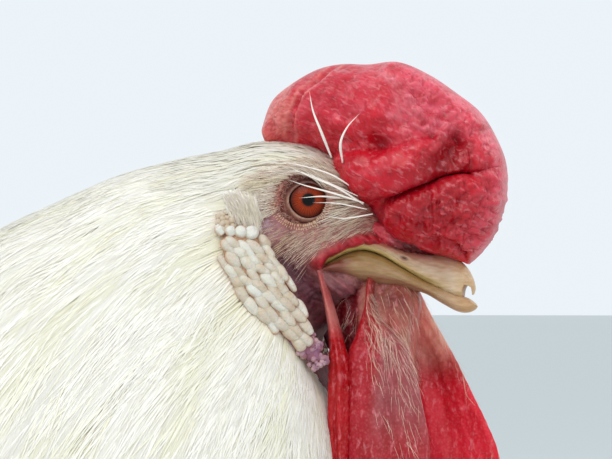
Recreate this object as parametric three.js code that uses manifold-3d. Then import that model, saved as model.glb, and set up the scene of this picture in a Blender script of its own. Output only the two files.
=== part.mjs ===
// A life-size white rooster that stands still, as solids in millimetres: +X is forward, +Z is up
// and +Y is the bird's left. Every feathered form is the outer shape of its plumage.
// Shapes are written from the eye axis, which is at x = 0 and z = 0, and the whole bird is then
// lifted by EYE_HEIGHT and centred over the floor.
import * as THREE from 'three';
import { mergeVertices } from 'three/addons/utils/BufferGeometryUtils.js';
import Module from 'manifold-3d';

const wasm = await Module();
wasm.setup();

// Driving dimensions
const EYE_HEIGHT = 385;
const EYE_RADIUS = 7;
const EYE_SIDE = 9.5;
const GAP = 0.3; // clearance between touching pieces
const FLOOR = -EYE_HEIGHT;
const STANCE = 42; // each foot's distance from the middle plane
const SIDES = [['right', -1], ['left', 1]];

const FINISH = {
  plumage: { color: 0xf4f3ea, roughness: 0.75 },
  comb: { color: 0xc0172f, roughness: 0.45 },
  face: { color: 0xc98f88, roughness: 0.6 },
  lobe: { color: 0xece6dc, roughness: 0.5 },
  eye: { color: 0xb84a12, roughness: 0.1 },
  horn: { color: 0xd9cda4, roughness: 0.4 },
  leg: { color: 0xd8b053, roughness: 0.5 },
};

const rooster = new THREE.Group();

// ---- From a three.js surface to a solid, and back to a named mesh ----

function solidOf(geometry) {
  const bare = geometry.clone();
  bare.deleteAttribute('normal');
  bare.deleteAttribute('uv');
  const merged = mergeVertices(bare, 1e-4);
  const vertProperties = new Float32Array(merged.getAttribute('position').array);
  const triVerts = new Uint32Array(merged.index.array);
  const build = () => new wasm.Manifold(new wasm.Mesh({ numProp: 3, vertProperties, triVerts }));
  const made = build();
  if (made.volume() > 0) return made;
  for (let i = 0; i < triVerts.length; i += 3) {
    [triVerts[i + 1], triVerts[i + 2]] = [triVerts[i + 2], triVerts[i + 1]];
  }
  return build();
}

function largestBody(solid) {
  const bodies = solid.decompose();
  return bodies.reduce((best, body) => (body.volume() > best.volume() ? body : best));
}

function addPiece(name, solid, finish) {
  const { numProp, vertProperties, triVerts } = largestBody(solid).getMesh();
  const count = vertProperties.length / numProp;
  const points = new Float32Array(count * 3);
  for (let i = 0; i < count; i += 1) {
    points.set(vertProperties.subarray(i * numProp, i * numProp + 3), i * 3);
  }
  const geometry = new THREE.BufferGeometry();
  geometry.setAttribute('position', new THREE.BufferAttribute(points, 3));
  geometry.setIndex(new THREE.BufferAttribute(new Uint32Array(triVerts), 1));
  geometry.computeVertexNormals();
  const mesh = new THREE.Mesh(geometry, new THREE.MeshStandardMaterial(FINISH[finish]));
  mesh.name = name;
  rooster.add(mesh);
}

// A closed surface on a sphere's grid. place(t, angle, row) gives each point, with t from 0 to 1
// between the two poles, where the angle must not matter.
function shaped(around, rows, place) {
  const geometry = new THREE.SphereGeometry(1, around, rows);
  const position = geometry.getAttribute('position');
  const uv = geometry.getAttribute('uv');
  for (let i = 0; i < position.count; i += 1) {
    const row = Math.round((1 - uv.getY(i)) * rows);
    const point = place(row / rows, uv.getX(i) * 2 * Math.PI, row);
    position.setXYZ(i, point.x, point.y, point.z);
  }
  return solidOf(geometry);
}

// A smooth run through rows of numbers, one row for each station: at(u) gives the row at station u.
function track(stations) {
  const width = stations[0].length;
  const curves = [];
  for (let first = 0; first < width; first += 3) {
    const points = stations.map((s) => new THREE.Vector3(s[first], s[first + 1] ?? 0, s[first + 2] ?? 0));
    curves.push(new THREE.CatmullRomCurve3(points, false, 'catmullrom', 0.5));
  }
  const last = stations.length - 1;
  return (u) => curves.flatMap((c) => c.getPoint(THREE.MathUtils.clamp(u / last, 0, 1)).toArray()).slice(0, width);
}

// How far a spot (x, z) seen from the side is from a line through the given points.
function distanceTo(line, x, z) {
  let best = Infinity;
  for (let i = 0; i + 1 < line.length; i += 1) {
    const [ax, az] = line[i];
    const [bx, bz] = line[i + 1];
    const dx = bx - ax;
    const dz = bz - az;
    const share = THREE.MathUtils.clamp(((x - ax) * dx + (z - az) * dz) / (dx * dx + dz * dz), 0, 1);
    best = Math.min(best, Math.hypot(x - ax - share * dx, z - az - share * dz));
  }
  return best;
}

const bell = (distance, width) => Math.exp(-((distance / width) ** 2));

// ---- Body: one run of flat sections from the face to the tail's root ----
// Each station is the section's upper end (x, z), its lower end (x, z), its half width, how far its
// widest place lies towards the upper end, and how square the section is.

const BODY = track([
  [22, -9, 12, -24, 6.5, 0.1, 0.1],
  [18, -2.5, 9, -27, 9.5, 0.2, 0.25],
  [12.5, 6, 6, -30, 12.5, 0.25, 0.35],
  [5, 12.8, 3, -33.5, 14.6, 0.25, 0.35],
  [-4, 15.8, 1, -37, 16, 0.2, 0.3],
  [-14, 16.4, 1, -42, 17.4, 0.15, 0.2],
  [-24, 14.2, 4, -48, 20, 0.1, 0.2],
  [-37, 11.8, 8, -56, 24, 0, 0.25],
  [-52, 8.2, 10.5, -67, 29.5, 0, 0.25],
  [-70, 1.2, 12.5, -82, 36, 0, 0.2],
  [-89, -7, 15, -101, 43.5, 0, 0.15],
  [-108, -19, 18, -123, 51.5, 0, 0.1],
  [-126, -36, 19, -147, 58, 0, 0.05],
  [-144, -55, 12, -177, 63, 0, 0],
  [-163, -72, -11, -208, 66, 0.05, 0],
  [-187, -83, -52, -232, 66, 0.1, 0],
  [-211, -86, -100, -240, 60, 0.15, 0],
  [-234, -81, -151, -226, 50, 0.15, 0],
  [-254, -70, -194, -195, 38, 0.1, 0],
  [-272, -54, -230, -158, 26, 0, 0],
  [-288, -36, -260, -122, 16, 0, 0],
  [-301, -22, -284, -92, 8, 0, 0],
]);
const BODY_LAST = 21;
const STATION = { face: 0, nape: 6.3, shoulder: 13, rump: BODY_LAST };
const ROWS = { head: 14, neck: 10, trunk: 14 };
const AROUND = 18;

const signedPower = (value, power) => Math.sign(value) * Math.abs(value) ** power;

function bodyPoint(u, angle, grow = 0) {
  const [bx, bz, fx, fz, half, bias, square] = BODY(u);
  const middle = new THREE.Vector3((bx + fx) / 2, 0, (bz + fz) / 2);
  const up = new THREE.Vector3(bx - fx, 0, bz - fz);
  const reach = up.length() / 2;
  up.normalize();
  const tall = signedPower(Math.cos(angle), 1 - square);
  const wide = signedPower(Math.sin(angle), 1 - square) * (1 + bias * Math.cos(angle));
  const out = new THREE.Vector3(0, wide * half, 0).addScaledVector(up, tall * reach);
  out.setLength(out.length() + grow);
  return middle.add(out);
}

// The body's half width at a spot (x, z) seen from the side.
function bodySide(x, z) {
  let low = 0;
  let high = BODY_LAST;
  for (let step = 0; step < 30; step += 1) {
    const u = (low + high) / 2;
    const [bx, bz, fx, fz] = BODY(u);
    const turn = (bx - fx) * (z - fz) - (bz - fz) * (x - fx);
    if (turn > 0) low = u;
    else high = u;
  }
  const [bx, bz, fx, fz, half, bias, square] = BODY(low);
  const share = ((x - fx) * (bx - fx) + (z - fz) * (bz - fz)) / ((bx - fx) ** 2 + (bz - fz) ** 2);
  const tall = THREE.MathUtils.clamp(share * 2 - 1, -1, 1);
  const cos = signedPower(tall, 1 / (1 - square));
  return half * (1 + bias * cos) * Math.sqrt(1 - cos * cos) ** (1 - square);
}

// The run between two stations as one solid with flat ends, or grown outwards all over.
function bodyRun(from, to, rows, grow = 0) {
  const middleOf = (u) => bodyPoint(u, 0).add(bodyPoint(u, Math.PI)).multiplyScalar(0.5);
  return shaped(AROUND, rows, (t, angle, row) => {
    if (row === 0) return middleOf(from);
    if (row === rows) return middleOf(to);
    return bodyPoint(THREE.MathUtils.lerp(from, to, (row - 1) / (rows - 2)), angle, grow);
  });
}

const SEAM = 0.014; // in stations, about 0.2 mm at the nape
const headForm = bodyRun(STATION.face, STATION.nape, ROWS.head);
const headGrown = bodyRun(STATION.face, STATION.nape, ROWS.head, GAP);
const neckForm = bodyRun(STATION.nape + 2 * SEAM, STATION.shoulder, ROWS.neck);
const neckGrown = bodyRun(STATION.nape - SEAM, STATION.shoulder, ROWS.neck, GAP);
const trunkForm = bodyRun(STATION.shoulder + 2 * SEAM, STATION.rump, ROWS.trunk);
const trunkGrown = bodyRun(STATION.shoulder - SEAM, STATION.rump, ROWS.trunk, GAP);

// ---- Eyes: whole balls, set so that the front of each stands just proud of the lids ----

const ball = (radius, side) => solidOf(new THREE.SphereGeometry(radius, 12, 7))
  .translate([0, side * EYE_SIDE, 0]);
const sockets = SIDES.map(([, side]) => ball(EYE_RADIUS + GAP, side));

// ---- Bill: an upper and a lower half, each a run of oval sections along x ----
// Stations: x, top z, bottom z, half width.

const UPPER_BILL = track([
  [5, -8, -16.2, 10.8],
  [11, -8.2, -15, 10.2],
  [18, -9.8, -15.4, 8.2],
  [24, -11.8, -17.6, 6.8],
  [30, -13.6, -20.4, 5.8],
  [35, -14.8, -22.8, 4.8],
  [39, -16.2, -24, 3.4],
  [42.6, -19.4, -23, 1.4],
]);
const LOWER_BILL = track([
  [5, -14.4, -22.2, 10.4],
  [11, -13.4, -22.4, 9.7],
  [18, -13.9, -22.8, 7.5],
  [24, -16.2, -23.8, 5.9],
  [30, -19, -25.9, 4.9],
  [35, -21.4, -27.4, 4],
  [39, -22.9, -28.2, 3],
  [43, -24.3, -27.2, 1.3],
]);
const BILL_LAST = 7; // the last station
const BILL_ROWS = 11;
const BILL_TIP = 0.6; // how far each tip is rounded off past its last station

function billRun(run, grow = 0) {
  return shaped(10, BILL_ROWS, (t, angle, row) => {
    const u = (THREE.MathUtils.clamp(row - 1, 0, BILL_ROWS - 2) / (BILL_ROWS - 2)) * BILL_LAST;
    const [x, top, bottom, half] = run(u);
    const size = row === 0 || row === BILL_ROWS ? 0 : 1;
    const end = (row === 0 ? -grow : 0) + (row === BILL_ROWS ? grow + BILL_TIP : 0);
    const z = (top + bottom) / 2 + size * Math.cos(angle) * ((top - bottom) / 2 + grow);
    return new THREE.Vector3(x + end, size * Math.sin(angle) * (half + grow), z);
  });
}

const upperBill = billRun(UPPER_BILL);
const lowerBill = billRun(LOWER_BILL).subtract(billRun(UPPER_BILL, GAP));
const billGrown = billRun(UPPER_BILL, GAP).add(billRun(LOWER_BILL, GAP));

// ---- Comb: one thick folded mass over the forehead and the root of the bill ----
// It runs from the nape over the head to a lobe that hangs before the bill. Each station is the
// section's upper end (x, z), its lower end (x, z), and its half width.

const COMB = track([
  [-13.8, 18, -12.5, 14.5, 4],
  [-13.3, 22, -10, 13.5, 9],
  [-10.7, 27.4, -6, 13, 12.5],
  [-5.5, 31.4, -1, 12.5, 14.5],
  [1.5, 35, 5, 10, 16.5],
  [8.2, 36.3, 10.5, 4.5, 18],
  [15.5, 36, 15, -2, 18.5],
  [23.3, 36.4, 19.5, -7.5, 19],
  [31.2, 32.9, 23.5, -11.2, 19],
  [38.2, 28, 27.5, -13, 18.5],
  [44.2, 23, 31, -14, 17.5],
  [48.2, 16.6, 34, -14.6, 16.5],
  [50.8, 9.4, 36.6, -15.2, 15],
  [50.8, 1.2, 38.6, -15.8, 13],
  [49.2, -5, 40, -16.3, 10],
  [46.8, -10.6, 41, -16.7, 7],
  [44, -14, 41.6, -16.4, 3],
]);
const COMB_FULL = 19; // the greatest half width
const COMB_LAST = 16; // the last station
const COMB_OVAL = 0.85; // the power that rounds each section
const COMB_ROWS = 23;
const COMB_AROUND = 16;
// Creases are sunk from the sides, each along a line of (x, z).
const CREASES = {
  right: [
    { line: [[15, -4.6], [20.9, -1.7], [25.1, 0.3], [31.8, 3.4], [41.2, 6.9], [46.4, 7.7]], width: 2.6, depth: 6.5 },
    { line: [[19.9, 14.5], [24.3, 13.8], [34.2, 15], [41, 13], [45.5, 11]], width: 3.4, depth: 4.5 },
    { line: [[0.8, 28.8], [-4, 23.7], [-5.8, 19.6], [-5.4, 15]], width: 2.2, depth: 2.4 },
    { line: [[6, 34], [20.6, 32], [29.9, 25.7]], width: 2.6, depth: 2.2 },
  ],
  left: [
    { line: [[10, 1], [20, 5], [30, 5], [40, 1], [47, -5]], width: 3, depth: 5.5 },
    { line: [[-4, 26], [4, 22], [14, 20], [26, 23], [36, 28]], width: 3.4, depth: 4.5 },
  ],
};

function combPoint(t, angle, row) {
  const u = (THREE.MathUtils.clamp(row - 0.6, 0, COMB_ROWS - 1.2) / (COMB_ROWS - 1.2)) * COMB_LAST;
  const [bx, bz, fx, fz, half] = COMB(u);
  const size = row === 0 || row === COMB_ROWS ? 0 : 1;
  const reach = (size * signedPower(Math.cos(angle), COMB_OVAL)) / 2;
  const x = (bx + fx) / 2 + reach * (bx - fx);
  const z = (bz + fz) / 2 + reach * (bz - fz);
  const out = size * half * signedPower(Math.sin(angle), COMB_OVAL);
  const creases = out < 0 ? CREASES.right : CREASES.left;
  const fold = creases.reduce((sum, c) => sum + c.depth * bell(distanceTo(c.line, x, z), c.width), 0);
  return new THREE.Vector3(x, out * (1 - (0.9 * fold) / COMB_FULL), z);
}

const combForm = shaped(COMB_AROUND, COMB_ROWS, combPoint).subtract(headGrown).subtract(billGrown)
  .subtract(sockets[0]).subtract(sockets[1]);

// ---- Wattles: a thin leaf hung under each side of the jaw ----
// Stations: z, rear x, front x, distance from the middle plane.

const WATTLES = {
  right: [
    [-21, 11, 20, 5.8], [-27, 12.5, 20.5, 8], [-34, 13.6, 21.5, 11], [-42, 11.8, 25, 12.6],
    [-50, 10.6, 28.6, 13.4], [-66, 11, 33, 14.4], [-78, 14, 31.5, 14.4], [-85, 18, 27.5, 14],
  ],
  left: [
    [-21, 12, 22.5, 5.8], [-27, 14, 25, 8], [-34, 15.5, 28.3, 10.5], [-42, 16.5, 33.6, 12],
    [-51, 18, 39, 13], [-67, 22, 46.6, 13.6], [-79, 27.5, 46.5, 13.6], [-86, 33, 42, 13],
  ],
};
// The rear fold: a narrow second leaf behind the first, from the throat's skin.
const REAR_FOLD = [
  [-27, 8.5, 17, 8.2], [-34, 6.5, 15, 11.4], [-42, 6.6, 12.6, 14], [-56, 7.4, 11.6, 15.4],
  [-72, 8.4, 11.2, 15.6],
];
// Half of a leaf's thickness, how far it cups outwards, and its rounded end.
const LEAF = { thick: 1.9, belly: 1.6, end: 2.5, around: 9 };

function leaf(stations, side, rows) {
  const run = track(stations);
  const last = stations.length - 1;
  return shaped(LEAF.around, rows, (t, angle, row) => {
    const u = (THREE.MathUtils.clamp(row - 0.6, 0, rows - 1.2) / (rows - 1.2)) * last;
    const [z, rear, front, out] = run(u);
    const size = row === 0 || row === rows ? 0 : 1;
    const end = row === rows ? -LEAF.end : 0;
    const half = ((front - rear) / 2) * size;
    const belly = LEAF.belly * size * Math.cos(angle) ** 2;
    const x = (rear + front) / 2 + half * Math.cos(angle);
    return new THREE.Vector3(x, side * (out - belly) + size * LEAF.thick * Math.sin(angle), z + end);
  });
}

function wattle(label, side) {
  return leaf(WATTLES[label], side, 10).add(leaf(REAR_FOLD, side, 6));
}

// ---- Ear lobes: long soft pads behind and below the eye ----

const LOBE = track([
  [-18.5, -2.5, 18.5, 4.6], [-14.6, -9.5, 20, 6], [-9.2, -19.6, 21, 6.2], [-3.2, -28.6, 20.5, 5.3],
  [2.2, -36.3, 18.8, 3.6], [5.8, -41.4, 17.4, 1.8],
]);
const LOBE_THICK = 3.4;
const LOBE_END = 1.6; // how far its rounded ends reach past the first and last stations

function lobe(side) {
  const rows = 8;
  const along = new THREE.Vector3(0.5, 0, -0.866);
  const across = new THREE.Vector3(0.866, 0, 0.5);
  return shaped(10, rows, (t, angle, row) => {
    const u = (THREE.MathUtils.clamp(row - 0.5, 0, rows - 1) / (rows - 1)) * 5;
    const [x, z, out, half] = LOBE(u);
    const size = row === 0 || row === rows ? 0 : 1;
    const point = new THREE.Vector3(x, side * out, z);
    point.addScaledVector(across, size * half * Math.cos(angle));
    point.addScaledVector(along, (row === rows ? LOBE_END : 0) - (row === 0 ? LOBE_END : 0));
    point.y += side * size * LOBE_THICK * Math.sin(angle);
    return point;
  });
}

// ---- Wings: folded flat on the trunk's sides ----
// Each is a lens over the body's own side, inside an outline seen from the side.

const WING_CENTRE = { x: -142, z: -143 };
const WING_OUTLINE = new THREE.CatmullRomCurve3([
  [-54, -130], [-70, -107], [-108, -97], [-155, -98], [-205, -104], [-246, -116], [-280, -136],
  [-244, -151], [-205, -167], [-158, -185], [-108, -190], [-68, -166],
].map(([x, z]) => new THREE.Vector3(x, 0, z)), true, 'catmullrom', 0.5);
// Its rim stands out by edge, its back lies in the trunk, and its tip stays off the middle plane.
const WING = { thick: 10, edge: 1.5, sunk: 4, tipSide: 27 };

function wing(side) {
  return shaped(18, 9, (t, angle) => {
    const tilt = (t - 0.5) * Math.PI;
    const rim = WING_OUTLINE.getPoint(angle / (2 * Math.PI));
    const x = THREE.MathUtils.lerp(WING_CENTRE.x, rim.x, Math.cos(tilt));
    const z = THREE.MathUtils.lerp(WING_CENTRE.z, rim.z, Math.cos(tilt));
    const rise = tilt > 0 ? WING.thick * Math.sin(tilt) : WING.sunk * Math.sin(tilt);
    return new THREE.Vector3(x, side * (Math.max(bodySide(x, z), WING.tipSide) + WING.edge + rise), z);
  }).subtract(trunkGrown).subtract(neckGrown);
}

// ---- Legs: feathered thigh, scaly shank, and a foot that stands on small flats ----
// Thigh stations: x, z, distance from the middle plane, half depth, half width.

const THIGH = track([
  [-92, -190, 34, 40, 24], [-96, -218, 37, 37, 23], [-104, -243, 39, 27, 18.5],
  [-112, -262, 40.5, 17, 13], [-117, -276, 41.5, 10.5, 9.5], [-119, -283, STANCE, 7.5, 7.2],
]);
const SHANK = track([
  [-119, -283.4, STANCE, 7.2, 7], [-119.5, -289, STANCE, 7.6, 7.4], [-117, -303, STANCE, 6.2, 5.8],
  [-112, -328, STANCE, 5.8, 5.2], [-107, -352, STANCE, 6.2, 5.8], [-103.6, -368, STANCE, 7.4, 7.2],
  [-103, -371.5, STANCE, 7, 7],
]);

function limb(run, last, side, around, rows, grow = 0) {
  return shaped(around, rows, (t, angle, row) => {
    const u = (THREE.MathUtils.clamp(row - 1, 0, rows - 2) / (rows - 2)) * last;
    const [x, z, out, deep, wide] = run(u);
    const size = row === 0 || row === rows ? 0 : 1;
    const end = (row === 0 ? grow : 0) - (row === rows ? grow : 0);
    return new THREE.Vector3(
      x + size * (deep + grow) * Math.cos(angle),
      side * out + size * (wide + grow) * Math.sin(angle),
      z + end,
    );
  });
}

// Toes: name, heading from straight ahead towards the outside in degrees, length, root radius.
const TOES = [
  ['inner', -34, 47, 5],
  ['middle', 3, 60, 5.4],
  ['outer', 38, 49, 5],
  ['hind', 202, 25, 4.2],
];
const FOOT_CENTRE = { x: -101, z: FLOOR + 7 };
const TOE_RISE = 0.86; // a toe's middle stands this share of its radius over the floor
// A claw starts past the toe's end by beyond, is long, half as thick at its root as the toe's root, and
// arches up and over; narrow is its width against its height.
const CLAW = { beyond: 0.35, long: 13, root: 0.5, taper: 0.85, narrow: 0.8, arch: 1.6, lift: 0.5 };

function heading(degrees, side) {
  const turn = THREE.MathUtils.degToRad(degrees);
  return new THREE.Vector3(Math.cos(turn), side * Math.sin(turn), 0);
}

function toe([, degrees, length, radius], side) {
  const forward = heading(degrees, side);
  const across = new THREE.Vector3(-forward.y, forward.x, 0);
  const rows = 6;
  return shaped(6, rows, (t, angle, row) => {
    const s = THREE.MathUtils.clamp(row - 1, 0, rows - 2) / (rows - 2);
    const pads = 1 + 0.07 * Math.cos(s * Math.PI * 6);
    const r = radius * (1 - 0.4 * s) * pads * (row === 0 || row === rows ? 0 : 1);
    const middle = radius * (1 - 0.4 * s) * TOE_RISE + 3.2 * (1 - s) ** 2;
    const point = new THREE.Vector3(FOOT_CENTRE.x, side * STANCE, FLOOR + middle);
    point.addScaledVector(forward, s * length).addScaledVector(across, r * Math.cos(angle));
    point.z += r * Math.sin(angle);
    return point;
  });
}

function claw([, degrees, length, radius], side) {
  const forward = heading(degrees, side);
  const across = new THREE.Vector3(-forward.y, forward.x, 0);
  const rows = 4;
  const size = radius * CLAW.root;
  return shaped(6, rows, (t, angle, row) => {
    const s = THREE.MathUtils.clamp(row - 1, 0, rows - 1) / (rows - 1);
    const r = row === 0 || row === rows ? 0 : size * (1 - CLAW.taper * s);
    const height = size + CLAW.lift + CLAW.arch * (Math.sin(s * 2.6) - s * s);
    const point = new THREE.Vector3(FOOT_CENTRE.x, side * STANCE, FLOOR + height);
    point.addScaledVector(forward, length + CLAW.beyond + s * CLAW.long);
    point.addScaledVector(across, r * CLAW.narrow * Math.cos(angle));
    point.z += r * Math.sin(angle);
    return point;
  });
}

function foot(side) {
  const pad = solidOf(new THREE.SphereGeometry(8.6, 8, 6)).scale([1.1, 1, 0.95])
    .translate([FOOT_CENTRE.x, side * STANCE, FOOT_CENTRE.z]);
  const joined = TOES.reduce((sum, one) => sum.add(toe(one, side)), pad);
  return joined.trimByPlane([0, 0, 1], FLOOR).subtract(limb(SHANK, 6, side, 8, 11, GAP));
}

// Spur: a short horn on the inner rear of each shank, a third of the way up, curved up by rise.
const SPUR = { root: [-111, STANCE - 3, -345], radius: 4.2, taper: 0.82, long: 22, rise: 2.5 };

function spur(side) {
  const outward = new THREE.Vector3(-0.72, -0.66 * side, 0.2).normalize();
  const across = new THREE.Vector3(0, 0, 1).cross(outward).normalize();
  const upward = outward.clone().cross(across);
  const rows = 5;
  const root = new THREE.Vector3(SPUR.root[0], side * SPUR.root[1], SPUR.root[2]);
  return shaped(6, rows, (t, angle, row) => {
    const s = THREE.MathUtils.clamp(row - 1, 0, rows - 1) / (rows - 1);
    const r = row === 0 || row === rows ? 0 : SPUR.radius * (1 - SPUR.taper * s);
    const point = root.clone().addScaledVector(outward, s * SPUR.long);
    point.addScaledVector(across, r * Math.cos(angle)).addScaledVector(upward, r * Math.sin(angle));
    point.z += SPUR.rise * s * s;
    return point;
  }).subtract(limb(SHANK, 6, side, 8, 11, GAP));
}

// ---- Tail: a fan of stiff feathers on each side under curved sickles ----
// A feather solid is a flat blade along a smooth path. Its width lies in the tail's upright plane.

const TAIL_ROOT = [-262, -90];

function blade(path, width, thick, rows) {
  const curve = new THREE.CatmullRomCurve3(path.map((p) => new THREE.Vector3(...p)), false, 'catmullrom', 0.5);
  const sideways = new THREE.Vector3(0, 1, 0);
  return shaped(6, rows, (t, angle, row) => {
    const s = THREE.MathUtils.clamp(row - 0.7, 0, rows - 1.4) / (rows - 1.4);
    const along = curve.getTangent(s);
    const across = along.clone().cross(sideways).normalize();
    const normal = across.clone().cross(along);
    const end = row === 0 || row === rows ? 0 : 1;
    const half = end * width * Math.min(1, 0.45 + 2.2 * s) * (1 - 0.85 * s ** 4);
    const point = curve.getPoint(row === 0 ? 0 : row === rows ? 1 : 0.01 + 0.97 * s);
    point.addScaledVector(across, half * Math.cos(angle));
    return point.addScaledVector(normal, end * thick * Math.sin(angle));
  });
}

// The main fan: five broad bundles of stiff feathers a side, joined, from the steepest down.
function fan(side) {
  const count = 5;
  let joined = null;
  for (let i = 0; i < count; i += 1) {
    const share = i / (count - 1);
    const rise = THREE.MathUtils.degToRad(THREE.MathUtils.lerp(66, 12, share));
    const length = THREE.MathUtils.lerp(160, 125, share);
    const out = THREE.MathUtils.lerp(3.2, 8.4, share);
    const path = [0, 0.35, 0.7, 1].map((s) => [
      TAIL_ROOT[0] - Math.cos(rise) * length * s - 6 * s * s,
      side * (out + 5 * share * s),
      TAIL_ROOT[1] + Math.sin(rise) * length * s + 10 * s * (1 - s),
    ]);
    const one = blade(path, 20, 2.2, 5);
    joined = joined ? joined.add(one) : one;
  }
  return joined;
}

// Sickles: the paths' points are x, z, and the distance from the middle plane.
const SICKLES = [
  {
    name: 'sickle',
    width: 14,
    path: [[-268, -72, 13], [-286, -20, 13.5], [-317, 24, 14], [-360, 42, 15], [-402, 22, 17], [-428, -22, 19],
      [-438, -70, 21]],
  },
  {
    name: 'sickle_second',
    width: 11.5,
    path: [[-268, -78, 17], [-292, -30, 18.5], [-330, 2, 20], [-372, 4, 22], [-402, -22, 24], [-416, -64, 26]],
  },
  {
    name: 'sickle_third',
    width: 10.5,
    path: [[-268, -86, 21], [-296, -46, 23], [-330, -26, 25], [-364, -30, 27], [-388, -58, 29.5], [-398, -94, 32]],
  },
  {
    name: 'sickle_fourth',
    width: 9.5,
    path: [[-262, -94, 25], [-288, -68, 28], [-318, -56, 31], [-346, -66, 33.5], [-362, -92, 36], [-368, -122, 38]],
  },
];
const SICKLE = { thick: 1.5, rows: 9 };

// ---- Assembly ----

const headCut = headForm.subtract(billGrown).subtract(sockets[0]).subtract(sockets[1]);
addPiece('head', headCut, 'face');
addPiece('neck', neckForm, 'plumage');
addPiece('bill_upper', upperBill, 'horn');
addPiece('bill_lower', lowerBill, 'horn');
addPiece('comb', combForm, 'comb');

const thighs = {};
for (const [label, side] of SIDES) {
  thighs[label] = limb(THIGH, 5, side, 14, 8);
  addPiece(`eye_${label}`, ball(EYE_RADIUS, side), 'eye');
  addPiece(`lobe_${label}`, lobe(side).subtract(headGrown).subtract(neckGrown), 'lobe');
  addPiece(
    `wattle_${label}`,
    wattle(label, side).subtract(headGrown).subtract(billGrown).subtract(neckGrown),
    'comb',
  );
  const wingForm = wing(side);
  const thighGrown = limb(THIGH, 5, side, 14, 8, GAP);
  addPiece(`wing_${label}`, wingForm.subtract(thighGrown), 'plumage');
  addPiece(`thigh_${label}`, thighs[label].subtract(trunkGrown).subtract(neckGrown), 'plumage');
  addPiece(`shank_${label}`, limb(SHANK, 6, side, 8, 11).subtract(thighGrown), 'leg');
  addPiece(`foot_${label}`, foot(side), 'leg');
  for (const one of TOES) addPiece(`claw_${one[0]}_${label}`, claw(one, side), 'horn');
  addPiece(`spur_${label}`, spur(side), 'horn');
  addPiece(`tail_fan_${label}`, fan(side).subtract(trunkGrown), 'plumage');
  for (const { name, width, path } of SICKLES) {
    const placed = path.map(([x, z, out]) => [x, side * out, z]);
    const form = blade(placed, width, SICKLE.thick, SICKLE.rows);
    addPiece(`${name}_${label}`, form.subtract(trunkGrown), 'plumage');
  }
}
addPiece('trunk', trunkForm, 'plumage');

const span = new THREE.Box3().setFromObject(rooster);
rooster.position.set(-(span.min.x + span.max.x) / 2, 0, EYE_HEIGHT);

export default rooster;
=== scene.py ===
import bpy
import numpy as np
from mathutils import Matrix, Vector


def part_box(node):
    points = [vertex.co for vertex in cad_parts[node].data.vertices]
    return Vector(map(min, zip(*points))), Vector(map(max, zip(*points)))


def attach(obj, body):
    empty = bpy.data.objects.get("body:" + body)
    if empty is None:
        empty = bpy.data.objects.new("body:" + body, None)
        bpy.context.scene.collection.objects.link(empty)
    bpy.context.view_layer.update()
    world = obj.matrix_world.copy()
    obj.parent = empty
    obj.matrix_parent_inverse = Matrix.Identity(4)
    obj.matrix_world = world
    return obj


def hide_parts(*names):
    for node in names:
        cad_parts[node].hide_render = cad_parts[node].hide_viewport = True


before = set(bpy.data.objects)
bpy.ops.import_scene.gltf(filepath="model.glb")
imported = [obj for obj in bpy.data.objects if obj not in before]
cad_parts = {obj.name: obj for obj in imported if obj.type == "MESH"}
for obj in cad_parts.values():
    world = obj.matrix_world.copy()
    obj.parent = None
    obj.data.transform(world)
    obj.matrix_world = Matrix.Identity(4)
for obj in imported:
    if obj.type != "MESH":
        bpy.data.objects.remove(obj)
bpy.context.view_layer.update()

# ---- Studio ----
# A pale level floor and an even, overcast light. The camera is held at the height of the bill's tip,
# a little in front of the bird's right side, and looks slightly up at the head.

eye_low, eye_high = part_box("eye_right")
EYE_SIDE = -(eye_low[1] + eye_high[1]) / 2
EYE = np.array([(eye_low[0] + eye_high[0]) / 2, 0.0, (eye_low[2] + eye_high[2]) / 2])
MM = 0.001

CAMERA_AROUND = np.radians(14)  # from square on to the right side, towards the bill
CAMERA_AWAY = 0.445
CAMERA_DROP = 0.0273  # below the eye
CAMERA_TILT = np.radians(2.53)
FRAME_WIDTH = 0.1591  # what the frame's width spans at the head
SENSOR = 36.0

outward = np.array([np.sin(CAMERA_AROUND), -np.cos(CAMERA_AROUND), 0.0])
across = np.array([np.cos(CAMERA_AROUND), np.sin(CAMERA_AROUND), 0.0])
ahead = -outward * np.cos(CAMERA_TILT) + np.array([0.0, 0.0, np.sin(CAMERA_TILT)])
above = np.cross(across, ahead)
lens_place = EYE + [0.0, -EYE_SIDE, -CAMERA_DROP] + outward * CAMERA_AWAY

camera = bpy.data.objects.new("camera", bpy.data.cameras.new("camera"))
camera.data.sensor_width = SENSOR
camera.data.lens = SENSOR * CAMERA_AWAY / FRAME_WIDTH
camera.data.clip_start = 0.02
camera.data.clip_end = 120.0
camera_axes = np.array([across, above, -ahead]).T
camera.matrix_world = Matrix([[*row, place] for row, place in zip(camera_axes, lens_place)] + [[0, 0, 0, 1]])
bpy.context.scene.collection.objects.link(camera)
bpy.context.scene.camera = camera
bpy.context.scene.view_settings.view_transform = "Standard"


def soft_lamp(name, place, target, size, power, colour):
    """A square area lamp at place that faces target."""
    lamp = bpy.data.objects.new(name, bpy.data.lights.new(name, "AREA"))
    lamp.data.size = size
    lamp.data.energy = power
    lamp.data.color = colour
    lamp.location = place
    lamp.rotation_euler = (Vector(place) - Vector(target)).to_track_quat("Z", "Y").to_euler()
    bpy.context.scene.collection.objects.link(lamp)


soft_lamp("sky_lamp", (-0.3, -1.5, 2.2), (0.1, 0.0, 0.3), 1.6, 25.0, (1.0, 0.98, 0.95))
soft_lamp("rim_lamp", (1.3, 1.1, 1.6), (0.1, 0.0, 0.3), 1.2, 6.0, (0.95, 0.98, 1.0))
soft_lamp("fill_lamp", (1.5, -1.1, 0.35), (0.2, 0.0, 0.33), 1.2, 4.0, (1.0, 0.98, 0.96))

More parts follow.
